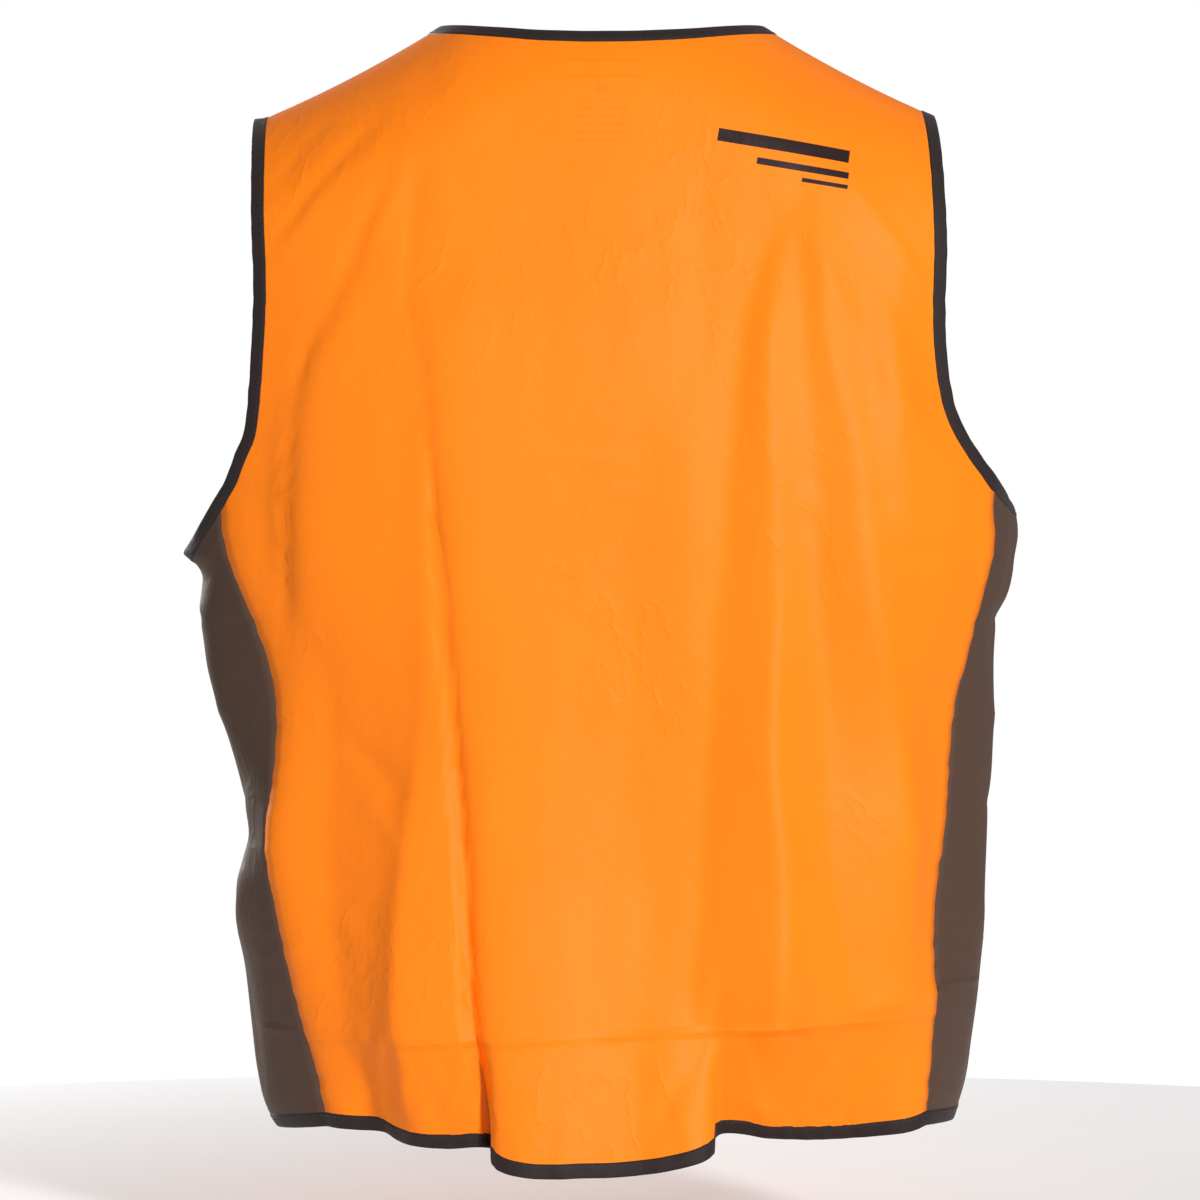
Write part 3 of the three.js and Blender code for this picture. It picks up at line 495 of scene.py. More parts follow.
def torso(side, x, g, fold_depth):
    """Place of the folded cloth: the smooth form, moved along its own normal."""
    small = 0.5
    here = bare_torso(side, x, g)
    across = bare_torso(side, x + small, g) - bare_torso(side, x - small, g)
    down = bare_torso(side, x, g + small) - bare_torso(side, x, np.maximum(g - small, 0))
    normal = np.cross(across, down) * side
    normal /= np.maximum(np.linalg.norm(normal, axis=-1, keepdims=True), 1e-9)
    x, z = here[..., 0], here[..., 2]
    fall = np.maximum(ridge(x) - z, 0)
    depth = FOLDS[side](x, z) * (0.12 + 0.88 * smooth_step((from_edge(x, z) - 2) / 34)) + puckers(x, z, side)
    depth = depth * smooth_step((fall - 4) / 60)
    if side == FRONT:
        depth = depth * smooth_step((np.abs(x) - 13) / 34)
    return here + normal * (depth * fold_depth)[..., None]


# ---------------------------------------------------------------- laying out the panels


def run_along(points):
    """How far each point lies along a run, from its first one."""
    return np.concatenate([[0], np.cumsum(np.linalg.norm(np.diff(points, axis=0), axis=1))])


def evenly(places, side, count):
    """Places along a curve, chosen at even steps of its length on the smooth form."""
    points = bare_torso(side, places[:, 0], places[:, 1])
    run = run_along(points)
    wanted = np.linspace(0, run[-1], count)
    return np.stack([np.interp(wanted, run, places[:, k]) for k in (0, 1)], axis=1)


def run_length(places, side):
    points = bare_torso(side, places[:, 0], places[:, 1])
    return np.linalg.norm(np.diff(points, axis=0), axis=1).sum()


def coons(top, bottom, first, last):
    """Places between four edges. Top and bottom run from the first edge to the last one."""
    u = np.linspace(0, 1, len(top))[None, :, None]
    v = np.linspace(0, 1, len(first))[:, None, None]
    ruled = (1 - v) * top[None] + v * bottom[None] + (1 - u) * first[:, None] + u * last[:, None]
    corners = ((1 - u) * (1 - v) * top[0] + u * (1 - v) * top[-1]
               + (1 - u) * v * bottom[0] + u * v * bottom[-1])
    return ruled - corners


def relaxed(places, corner, turns=60):
    """The same places, with those near a corner of the top edge drawn to the middle of their neighbours."""
    places = places.copy()
    rows, columns = places.shape[:2]
    down, along = np.arange(1, rows - 1)[:, None], np.arange(1, columns - 1)[None, :]
    share = np.exp(-((along - corner) / 3.0) ** 4 - (down / 45.0) ** 4)[..., None]
    for _ in range(turns):
        near = places[:-2, 1:-1] + places[2:, 1:-1] + places[1:-1, :-2] + places[1:-1, 2:]
        places[1:-1, 1:-1] += share * (near / 4 - places[1:-1, 1:-1])
    return places


def neck_curve(side, wing, inner):
    """The neckline on one wing, from the neck point to the centre, as places."""
    turn = np.linspace(0, math.pi / 2, 400)
    share = np.sin(turn) ** 2 if side == BACK else np.sin(turn)
    x = inner + (NECK_HALF - inner) * np.cos(turn)
    z = -NECK_DROP[side] * share
    return np.stack([wing * x, length_at(side, x, z)], axis=1)


def shoulder_curve(wing):
    """The shoulder seam, from the neck point to the tip."""
    x = np.linspace(NECK_HALF, ARMHOLE[wing][0][1], 200)
    return np.stack([wing * x, np.zeros_like(x)], axis=1)


def armhole_curve(side, wing):
    top = SEAM_TOP[wing]
    z = np.linspace(float(ridge(ARMHOLE[wing][0][1])), top, 400)
    share = (-SHOULDER_DROP - z) / (-SHOULDER_DROP - top)
    cut = CHEST_CUT * 4 * share * (1 - share) if side == FRONT else 0
    x = wing * (ARMHOLE_AT[wing](z) - cut)
    return np.stack([x, length_at(side, x, z)], axis=1)


def seam_curve(side, wing):
    z = np.linspace(SEAM_TOP[wing], SEAM_END[wing], 500)
    x = wing * SEAM_AT[wing](z)
    return np.stack([x, length_at(side, x, z)], axis=1)


class Layout:
    """Every panel as rows of points, with the seams shared."""

    def __init__(self, sizes):
        grain = sizes.grain * 1000
        self.fold_depth = sizes.fold_depth
        arm = max(run_length(armhole_curve(BACK, w), BACK) for w in (LEFT, RIGHT))
        seam = max(run_length(seam_curve(BACK, w), BACK) for w in (LEFT, RIGHT))
        self.arm_rows = round(arm / grain)
        self.seam_rows = round(seam / grain)
        self.shoulder_columns = round((TIP_HALF - NECK_HALF) / grain)
        self.neck_columns = round(NECK_RUN / grain)
        self.side_columns = 2 * round(SEAM_DEPTH / grain)
        self.places, self.points = {}, {}
        self.lay_back()
        for wing in (LEFT, RIGHT):
            self.lay_front(wing)
        for wing in (LEFT, RIGHT):
            self.lay_flank(wing)

    def outer_edge(self, side, wing):
        arm = evenly(armhole_curve(side, wing), side, self.arm_rows + 1)
        seam = evenly(seam_curve(side, wing), side, self.seam_rows + 1)
        return np.concatenate([arm, seam[1:]])

    def lay_back(self):
        halves = []
        for wing in (LEFT, RIGHT):
            shoulder = evenly(shoulder_curve(wing), BACK, self.shoulder_columns + 1)
            neck = evenly(neck_curve(BACK, wing, 0), BACK, self.neck_columns // 2 + 1)
            halves.append(np.concatenate([shoulder[::-1], neck[1:]]))
        top = np.concatenate([halves[0], halves[1][::-1][1:]])
        first, last = self.outer_edge(BACK, LEFT), self.outer_edge(BACK, RIGHT)
        share = np.linspace(0, 1, len(top))
        x = first[-1, 0] + (last[-1, 0] - first[-1, 0]) * share
        bottom = np.stack([x, length_at(BACK, x, HEM_BACK_AT(x))], axis=1)
        self.store("back", BACK, coons(top, bottom, first, last))

    def lay_front(self, wing):
        neck = evenly(neck_curve(FRONT, wing, FRONT_EDGE), FRONT, self.neck_columns // 2 + 1)
        shoulder = evenly(shoulder_curve(wing), FRONT, self.shoulder_columns + 1)
        top = np.concatenate([neck[::-1], shoulder[1:]])
        last = self.outer_edge(FRONT, wing)
        x = np.linspace(wing * FRONT_EDGE, last[-1, 0], len(top))
        bottom = np.stack([x, length_at(FRONT, x, hem_front_at(x))], axis=1)
        share = np.linspace(0, 1, len(last))
        first = np.stack([np.full(len(last), wing * FRONT_EDGE),
                          top[0, 1] + (bottom[0, 1] - top[0, 1]) * share], axis=1)
        places = relaxed(coons(top, bottom, first, last), self.neck_columns // 2)
        self.store("front_left" if wing == LEFT else "front_right", FRONT, places)

    def store(self, name, side, places):
        self.places[name] = places
        self.points[name] = torso(side, places[..., 0], places[..., 1], self.fold_depth)

    def lay_flank(self, wing):
        """A side panel, from the back's seam round to the front's."""
        at_back = self.points["back"][self.arm_rows:, 0 if wing == LEFT else -1]
        at_front = self.points["front_left" if wing == LEFT else "front_right"][self.arm_rows:, -1]
        s = np.linspace(0, 1, self.side_columns + 1)[None, :]
        t = np.linspace(0, 1, len(at_back))[:, None]
        ruled = (1 - s)[..., None] * at_back[:, None] + s[..., None] * at_front[:, None]
        bow = 4 * s * (1 - s)
        top, end = SEAM_TOP[wing], SEAM_END[wing]
        dip = (UNDERARM_LEVEL[wing] - top) * (1 - smooth_step(t / 0.28)) + (SIDE_HEM_LEVEL[wing]
                                                                            - end) * t ** 3
        z = ruled[..., 2] + dip * bow
        reach = wing * FLANK_AT[wing](z) - ruled[..., 0]
        x = ruled[..., 0] + reach * np.sin(math.pi * s) ** 0.9
        y = ruled[..., 1]
        fade = np.sin(math.pi * s)
        wrinkle = slanted(y, z, (20, -392), (-46, -380), -2.2, 5) + slanted(y, z, (40, -440), (-30, -470),
                                                                            1.8, 12)
        wrinkle = wrinkle + slanted(y, z, (48, -486), (-40, -540), -2.6, 11) + slanted(y, z, (36, -560),
                                                                                       (-30, -640), 2, 13)
        wrinkle = wrinkle + slanted(y, z, (10, -600), (16, -720), -1.8, 12) + ripples(y, z, 31 + wing, 60,
                                                                                      160, 0.7)
        x = x + wing * wrinkle * fade * self.fold_depth
        points = np.stack([x, y, z], axis=-1)
        name = "side_left" if wing == LEFT else "side_right"
        self.points[name] = points
        run = run_along(at_back)
        width = 2 * SEAM_DEPTH * 1.12
        self.places[name] = np.stack(np.broadcast_arrays((s - 0.5) * width, run[:, None]), axis=-1)


# ---------------------------------------------------------------- meshes


def link(obj):
    bpy.context.scene.collection.objects.link(obj)
    return obj


def mesh_piece(name, points, faces, uv=None, smooth=True):
    """A piece from points in millimetres. A face's corners take their places on the pattern from uv."""
    mesh = bpy.data.meshes.new(name)
    mesh.from_pydata((np.asarray(points) / 1000).tolist(), [], faces)
    if uv is not None:
        layer = mesh.uv_layers.new(name="weave")
        corners = np.empty(len(mesh.loops), int)
        mesh.loops.foreach_get("vertex_index", corners)
        layer.data.foreach_set("uv", (np.asarray(uv)[corners] / 1000).astype(np.float32).ravel())
    mesh.polygons.foreach_set("use_smooth", [smooth] * len(mesh.polygons))
    mesh.validate()
    mesh.update()
    return link(bpy.data.objects.new(name, mesh))


def grid_faces(rows, columns, flip):
    r, c = np.meshgrid(np.arange(rows - 1), np.arange(columns - 1), indexing="ij")
    a = (r * columns + c).ravel()
    quads = np.stack([a, a + 1, a + columns + 1, a + columns], axis=1)
    return (quads[:, ::-1] if flip else quads).tolist()


def faces_out(points, faces, away_from):
    """Whether the faces look away from a place."""
    quad = np.asarray(faces)
    middle = points[quad].mean(axis=1)
    normal = np.cross(points[quad[:, 2]] - points[quad[:, 0]], points[quad[:, 3]] - points[quad[:, 1]])
    return np.sum(normal * (middle - away_from)) > 0


def cloth_panel(name, points, places, thickness):
    rows, columns = points.shape[:2]
    flat = points.reshape(-1, 3)
    faces = grid_faces(rows, columns, False)
    core = np.stack([np.zeros(len(faces)), np.zeros(len(faces)),
                     flat[np.asarray(faces)].mean(axis=1)[:, 2]], axis=1)
    if not faces_out(flat, faces, core):
        faces = grid_faces(rows, columns, True)
    piece = mesh_piece(name, flat, faces, places.reshape(-1, 2))
    wall = piece.modifiers.new("cloth thickness", "SOLIDIFY")
    wall.thickness = thickness
    wall.offset = 0
    wall.material_offset = 1
    return piece


def surface_tree(grids):
    """The panels' middle surfaces, for finding places on the cloth."""
    points, faces, start = [], [], 0
    for grid in grids:
        rows, columns = grid.shape[:2]
        flat = grid.reshape(-1, 3)
        found = np.asarray(grid_faces(rows, columns, False))
        core = flat[found].mean(axis=1) * [0, 0, 1]
        if not faces_out(flat, found, core):
            found = found[:, ::-1]
        points.append(flat)
        faces.append(found + start)
        start += len(flat)
    points, faces = np.concatenate(points), np.concatenate(faces)
    return BVHTree.FromPolygons(points.tolist(), faces.tolist())


def join_runs(runs):
    """One run of points from several that meet end to end."""
    joined = [runs[0]]
    for run in runs[1:]:
        joined.append(run[1:])
    return np.concatenate(joined)


def respaced(points, step, is_loop):
    """Points at even steps along a run."""
    if is_loop:
        points = np.concatenate([points, points[:1]])
    run = run_along(points)
    count = max(int(round(run[-1] / step)), 2)
    wanted = np.linspace(0, run[-1], count + 1)
    even = np.stack([np.interp(wanted, run, points[:, k]) for k in range(3)], axis=1)
    return even[:-1] if is_loop else even


def neighbours(values, is_loop):
    """The values ahead of and behind each one of a run."""
    if is_loop:
        return np.roll(values, -1, axis=0), np.roll(values, 1, axis=0)
    return np.concatenate([values[1:], values[-1:]]), np.concatenate([values[:1], values[:-1]])


def tangents(points, is_loop):
    ahead, behind = neighbours(points, is_loop)
    t = ahead - behind
    return t / np.linalg.norm(t, axis=1, keepdims=True)


def smoothed(vectors, is_loop, times=3):
    for _ in range(times):
        ahead, behind = neighbours(vectors, is_loop)
        vectors = (ahead + 2 * vectors + behind) / 4
    return vectors / np.maximum(np.linalg.norm(vectors, axis=1, keepdims=True), 1e-9)


def walk_inwards(tree, edge, is_loop, distances):
    """Places on the cloth at distances inwards from its edge, with the cloth's outward normal at each."""
    along = tangents(edge, is_loop)
    normal = np.array([tree.find_nearest(Vector(p))[1][:] for p in edge])
    normal = smoothed(normal, is_loop, 4)
    inward = np.cross(normal, along)
    inward /= np.linalg.norm(inward, axis=1, keepdims=True)
    probe = np.array([tree.find_nearest(Vector(p))[3] for p in edge + inward * 6])
    other = np.array([tree.find_nearest(Vector(p))[3] for p in edge - inward * 6])
    if probe.mean() > other.mean():
        inward = -inward
    places, normals = [], []
    here, done, heading = edge.copy(), 0.0, inward
    for distance in distances:
        aim = here + heading * (distance - done)
        found = [tree.find_nearest(Vector(p)) for p in aim]
        there = np.array([f[0][:] for f in found])
        normal = smoothed(np.array([f[1][:] for f in found]), is_loop, 3)
        places.append(there)
        normals.append(normal)
        step = there - here
        size = np.linalg.norm(step, axis=1, keepdims=True)
        heading = smoothed(np.where(size > 0.2, step / np.maximum(size, 1e-6), heading), is_loop, 2)
        here, done = there, distance
    return places, normals, inward


def tube(rings, is_loop):
    """Faces of a tube through rings of points, with its ends closed unless it is a loop."""
    count, around = rings.shape[:2]
    faces = []
    for r in range(count if is_loop else count - 1):
        a, b = r * around, ((r + 1) % count) * around
        for k in range(around):
            after = (k + 1) % around
            faces.append([a + k, a + after, b + after, b + k])
    if not is_loop:
        faces.append(list(range(around))[::-1])
        faces.append([(count - 1) * around + k for k in range(around)])
    return faces


def bound_edge(name, tree, edge, is_loop, sizes):
    """Folded tape round the cloth's edge, and the lines where it is sewn on each face."""
    cover, wall = sizes.binding_cover * 1000, sizes.binding_wall * 1000
    half = sizes.cloth_thickness * 500
    edge = respaced(edge, 3.0, is_loop)
    share = [0.02, 0.2, 0.45, 0.75, 0.95, 1.0]
    places, normals, inward = walk_inwards(tree, edge, is_loop, [cover * s for s in share])
    lift = [half + wall * 1.05, half + wall * 1.2, half + wall * 1.15, half + wall * 0.92,
            half + wall * 0.9, half + 0.05]
    front = [p + n * h for p, n, h in zip(places, normals, lift)]
    behind = [p - n * h for p, n, h in zip(places, normals, lift)]
    turn = []
    for angle in (60, 30, 0, -30, -60):
        reach = 0.35 + (half + wall) * math.cos(math.radians(angle))
        rise = (half + wall * 1.05) * math.sin(math.radians(angle))
        turn.append(edge - inward * reach + normals[0] * rise)
    ring = front[::-1] + turn + behind
    rings = np.stack(ring, axis=1)
    run = run_along(edge)
    across = np.linspace(0, 2 * cover + 2, rings.shape[1])
    uv = np.stack(np.broadcast_arrays(run[:, None], across[None, :]), axis=-1)
    faces = tube(rings, is_loop)
    piece = mesh_piece(name, rings.reshape(-1, 3), faces, uv.reshape(-1, 2))
    outward(piece)
    sewn = 3
    off = half + wall + 0.05
    return piece, [(places[sewn] + normals[sewn] * sign * off, is_loop) for sign in (1, -1)]


def outward(piece):
    """Turns a closed piece's faces outwards."""
    work = bmesh.new()
    work.from_mesh(piece.data)
    bmesh.ops.recalc_face_normals(work, faces=work.faces)
    work.to_mesh(piece.data)
    work.free()
    piece.data.update()


# ---------------------------------------------------------------- what repeats


def socket_id(group, name):
    return next(i.identifier for i in group.interface.items_tree if i.name == name and i.in_out == "INPUT")


def new_tree(name, inputs):
    """An empty geometry tree with a geometry socket on each side and the named inputs."""
    group = bpy.data.node_groups.new(name, "GeometryNodeTree")
    group.interface.new_socket("Geometry", in_out="INPUT", socket_type="NodeSocketGeometry")
    for title, kind, default in inputs:
        made = group.interface.new_socket(title, in_out="INPUT", socket_type=kind)
        if default is not None:
            made.default_value = default
    group.interface.new_socket("Geometry", in_out="OUTPUT", socket_type="NodeSocketGeometry")
    return group, group.nodes.new("NodeGroupInput"), group.nodes.new("NodeGroupOutput")


def add_node(tree, kind, settings=None, sockets=None):
    """A new node with its settings, each of its named sockets linked to another socket or given a value."""
    made = tree.nodes.new(kind)
    for key, setting in (settings or {}).items():
        setattr(made, key, setting)
    for key, given in (sockets or {}).items():
        socket = made.inputs[key]
        if isinstance(given, bpy.types.NodeSocket):
            tree.links.new(given, socket)
        else:
            socket.default_value = given
    return made


def stepped_path(tree, given):
    """The given edges as a path with a point at each pitch."""
    path = add_node(tree, "GeometryNodeMeshToCurve", None, {"Mesh": given["Geometry"]})
    steps = add_node(tree, "GeometryNodeResampleCurve", {"mode": "LENGTH"},
                     {"Curve": path.outputs["Curve"], "Length": given["Pitch"]})
    return steps.outputs["Curve"]


def finish_copies(tree, given, placed, result):
    """Makes the placed copies real, smooth and of the given finish, and hands them to the tree's output."""
    real = add_node(tree, "GeometryNodeRealizeInstances", None, {0: placed.outputs["Instances"]})
    smooth = add_node(tree, "GeometryNodeSetShadeSmooth", None, {0: real.outputs[0]})
    finish = add_node(tree, "GeometryNodeSetMaterial", None,
                      {"Geometry": smooth.outputs[0], "Material": given["Finish"]})
    tree.links.new(finish.outputs[0], result.inputs["Geometry"])


def along_path_tree(name):
    """Copies of one small form at even steps along a path, each turned along it."""
    group, entry, result = new_tree(name, [
        ("Pitch", "NodeSocketFloat", 0.003),
        ("Length", "NodeSocketFloat", 0.002),
        ("Radius", "NodeSocketFloat", 0.0002),
        ("Unevenness", "NodeSocketFloat", 0.1),
        ("Seed", "NodeSocketInt", 4),
        ("Finish", "NodeSocketMaterial", None)])
    given = entry.outputs
    steps = stepped_path(group, given)
    bead = add_node(group, "GeometryNodeMeshUVSphere", None, {"Segments": 6, "Rings": 5, "Radius": 1.0})
    half = add_node(group, "ShaderNodeMath", {"operation": "MULTIPLY"}, {0: given["Length"], 1: 0.5})
    size = add_node(group, "ShaderNodeCombineXYZ", None,
                    {0: given["Radius"], 1: given["Radius"], 2: half.outputs[0]})
    formed = add_node(group, "GeometryNodeTransform", None,
                      {"Geometry": bead.outputs["Mesh"], "Scale": size.outputs[0]})
    heading = add_node(group, "GeometryNodeInputTangent")
    turned = add_node(group, "FunctionNodeAlignRotationToVector", {"axis": "Z"},
                      {"Vector": heading.outputs[0]})
    smallest = add_node(group, "ShaderNodeMath", {"operation": "SUBTRACT"}, {0: 1.0, 1: given["Unevenness"]})
    uneven = add_node(group, "FunctionNodeRandomValue", {"data_type": "FLOAT"},
                      {2: smallest.outputs[0], 3: 1.0, "Seed": given["Seed"]})
    placed = add_node(group, "GeometryNodeInstanceOnPoints", None, {
        "Points": steps, "Instance": formed.outputs["Geometry"], "Rotation": turned.outputs["Rotation"],
        "Scale": uneven.outputs[1]})
    finish_copies(group, given, placed, result)
    return group


def coil_tree(name):
    """Turns of a flattened coil at even steps up a straight path."""
    group, entry, result = new_tree(name, [
        ("Pitch", "NodeSocketFloat", 0.0016),
        ("Width", "NodeSocketFloat", 0.0027),
        ("Thickness", "NodeSocketFloat", 0.0022),
        ("Filament", "NodeSocketFloat", 0.0004),
        ("Lean", "NodeSocketFloat", 0.0),
        ("Finish", "NodeSocketMaterial", None)])
    given = entry.outputs
    steps = stepped_path(group, given)
    loop = add_node(group, "GeometryNodeCurvePrimitiveCircle", None, {"Resolution": 12, "Radius": 0.5})
    # The filament's middle runs a filament's radius inside the coil's width and thickness on each side.
    wide, thick = (add_node(group, "ShaderNodeMath", {"operation": "MULTIPLY_ADD"},
                            {0: given["Filament"], 1: -2.0, 2: given[title]}) for title in ("Width",
                                                                                            "Thickness"))
    oval = add_node(group, "ShaderNodeCombineXYZ", None, {0: wide.outputs[0], 1: thick.outputs[0], 2: 1.0})
    shaped = add_node(group, "GeometryNodeTransform", None,
                      {"Geometry": loop.outputs["Curve"], "Scale": oval.outputs[0]})
    thread = add_node(group, "GeometryNodeCurvePrimitiveCircle", None,
                      {"Resolution": 6, "Radius": given["Filament"]})
    turn = add_node(group, "GeometryNodeCurveToMesh", None,
                    {"Curve": shaped.outputs["Geometry"], "Profile Curve": thread.outputs["Curve"]})
    leaning = add_node(group, "ShaderNodeCombineXYZ", None, {1: given["Lean"]})
    placed = add_node(group, "GeometryNodeInstanceOnPoints", None, {
        "Points": steps, "Instance": turn.outputs["Mesh"], "Rotation": leaning.outputs[0]})
    finish_copies(group, given, placed, result)
    return group


def path_mesh(name, lines):
    """Edges through runs of points in millimetres; each run says whether it is a loop."""
    points, edges = [], []
    for run, is_loop in lines:
        start = len(points)
        points.extend((np.asarray(run) / 1000).tolist())
        count = len(run)
        edges.extend([start + i, start + i + 1] for i in range(count - 1))
        if is_loop:
            edges.append([start + count - 1, start])
    mesh = bpy.data.meshes.new(name)
    mesh.from_pydata(points, edges, [])
    return link(bpy.data.objects.new(name, mesh))


def grown(name, lines, group, values):
    """The plain mesh that a geometry tree makes along the lines."""
    guide = path_mesh(name + "_guide", lines)
    modifier = guide.modifiers.new("grow", "NODES")
    modifier.node_group = group
    for title, value in values.items():
        modifier[socket_id(group, title)] = value
    bpy.context.view_layer.update()
    evaluated = guide.evaluated_get(bpy.context.evaluated_depsgraph_get())
    mesh = bpy.data.meshes.new_from_object(evaluated)
    mesh.name = name
    bpy.data.objects.remove(guide)
    if not mesh.polygons:
        raise RuntimeError(name + " came out empty")
    return link(bpy.data.objects.new(name, mesh))


# ---------------------------------------------------------------- finishes


class Value:
    """A number that changes over a surface. Arithmetic on it adds Math nodes."""

    def __init__(self, finish, socket):
        self.finish, self.socket = finish, socket

    def worked(self, operation, *others):
        sockets = {0: self}
        sockets.update({k + 1: other for k, other in enumerate(others)})
        return self.finish.value("ShaderNodeMath", {"operation": operation}, sockets)

    def swapped(self, operation, other):
        return self.finish.value("ShaderNodeMath", {"operation": operation}, {0: other, 1: self})

    def __add__(self, other):
        return self.worked("ADD", other)

    def __radd__(self, other):
        return self.swapped("ADD", other)

    def __sub__(self, other):
        return self.worked("SUBTRACT", other)

    def __rsub__(self, other):
        return self.swapped("SUBTRACT", other)

    def __mul__(self, other):
        return self.worked("MULTIPLY", other)

    def __rmul__(self, other):
        return self.swapped("MULTIPLY", other)

    def __truediv__(self, other):
        return self.worked("DIVIDE", other)

    def __pow__(self, other):
        return self.worked("POWER", other)

    def __abs__(self):
        return self.worked("ABSOLUTE")

    def __gt__(self, other):
        return self.worked("GREATER_THAN", other)

    def __lt__(self, other):
        return self.worked("LESS_THAN", other)

    def sine(self):
        return self.worked("SINE")

    def least(self, other):
        return self.worked("MINIMUM", other)

    def most(self, other):
        return self.worked("MAXIMUM", other)

    def ramp(self, low, high):
        """0 up to low, 1 from high, smooth between."""
        return self.finish.value("ShaderNodeMapRange", {"interpolation_type": "SMOOTHSTEP"},
                                 {"Value": self, "From Min": low, "From Max": high})


class Finish:
    """One material and its nodes."""

    def __init__(self, name):
        self.material = bpy.data.materials.new(name)
        self.material.use_nodes = True
        self.tree = self.material.node_tree
        self.tree.nodes.clear()

    def node(self, kind, settings=None, sockets=None):
        plain = {key: given.socket if isinstance(given, Value) else given
                 for key, given in (sockets or {}).items()}
        return add_node(self.tree, kind, settings, plain)

    def value(self, kind, settings=None, sockets=None, output=0):
        return Value(self, self.node(kind, settings, sockets).outputs[output])

    def mix(self, share, first, second):
        """A colour between two, each a colour or a socket."""
        full = [c if isinstance(c, bpy.types.NodeSocket) else (*c[:3], 1.0) for c in (first, second)]
        return self.node("ShaderNodeMix", {"data_type": "RGBA"},
                         {0: share, 6: full[0], 7: full[1]}).outputs[2]

    def split(self, vector):
        parts = self.node("ShaderNodeSeparateXYZ", None, {0: vector})
        return [Value(self, parts.outputs[k]) for k in range(3)]

    def object_place(self):
        """The three coordinates of a place on the piece, in metres."""
        return self.split(self.node("ShaderNodeTexCoord").outputs["Object"])

    def pattern_place(self):
        """The two coordinates of a place on the piece's own pattern, in metres."""
        return self.split(self.node("ShaderNodeUVMap", {"uv_map": "weave"}).outputs["UV"])[:2]

    def vector(self, x, y, z=0.0):
        return self.node("ShaderNodeCombineXYZ", None, {0: x, 1: y, 2: z}).outputs[0]

    def noise(self, vector, scale, detail=2.0, roughness=0.5):
        return self.value("ShaderNodeTexNoise", None,
                          {"Vector": vector, "Scale": scale, "Detail": detail, "Roughness": roughness})

    def bump(self, height, strength, distance, below=None):
        sockets = {"Height": height, "Strength": strength, "Distance": distance}
        if below is not None:
            sockets["Normal"] = below
        return self.node("ShaderNodeBump", None, sockets).outputs[0]

    def shade(self, colour, roughness, normal=None, **constants):
        sockets = {"Base Color": colour if isinstance(colour, bpy.types.NodeSocket) else (*colour[:3], 1.0),
                   "Roughness": roughness}
        if normal is not None:
            sockets["Normal"] = normal
        for key, given in constants.items():
            sockets[key.replace("_", " ")] = given
        surface = self.node("ShaderNodeBsdfPrincipled", None, sockets)
        self.node("ShaderNodeOutputMaterial", None, {"Surface": surface.outputs[0]})
        return self.material


THREAD_PITCH = 0.00052


def scaled(colour, factor):
    return tuple(min(c * factor, 1.0) for c in colour)


def box_mask(x, z, middle, width, height, tilt, soft=0.0003):
    """1 inside a turned rectangle on the back, with an edge as soft as ink on cloth. Sizes in metres."""
    c, s = math.cos(tilt), math.sin(tilt)
    across = (x - middle[0]) * c + (z - middle[1]) * s
    up = (z - middle[1]) * c - (x - middle[0]) * s
    inside = 1 - abs(across).ramp(width / 2 - soft, width / 2 + soft)
    return inside * (1 - abs(up).ramp(height / 2 - soft, height / 2 + soft))


def plain_weave(finish, pitch):
    """Height of crossing threads, and slow unevenness of the threads both ways."""
    u, v = finish.pattern_place()
    threads = (u * (2 * math.pi / pitch)).sine() * (v * (2 * math.pi / pitch)).sine()
    warp = finish.noise(finish.vector(u * 1900, v * 24), 1.0, 2.0)
    weft = finish.noise(finish.vector(u * 24, v * 1900, 7.0), 1.0, 2.0)
    return u, v, threads, warp, weft


def marks_mask(x, z, marks):
    """1 inside any of the marks."""
    mask = None
    for middle, width, height, tilt in marks:
        one = box_mask(x, z, middle, width, height, tilt)
        mask = one if mask is None else mask.most(one)
    return mask


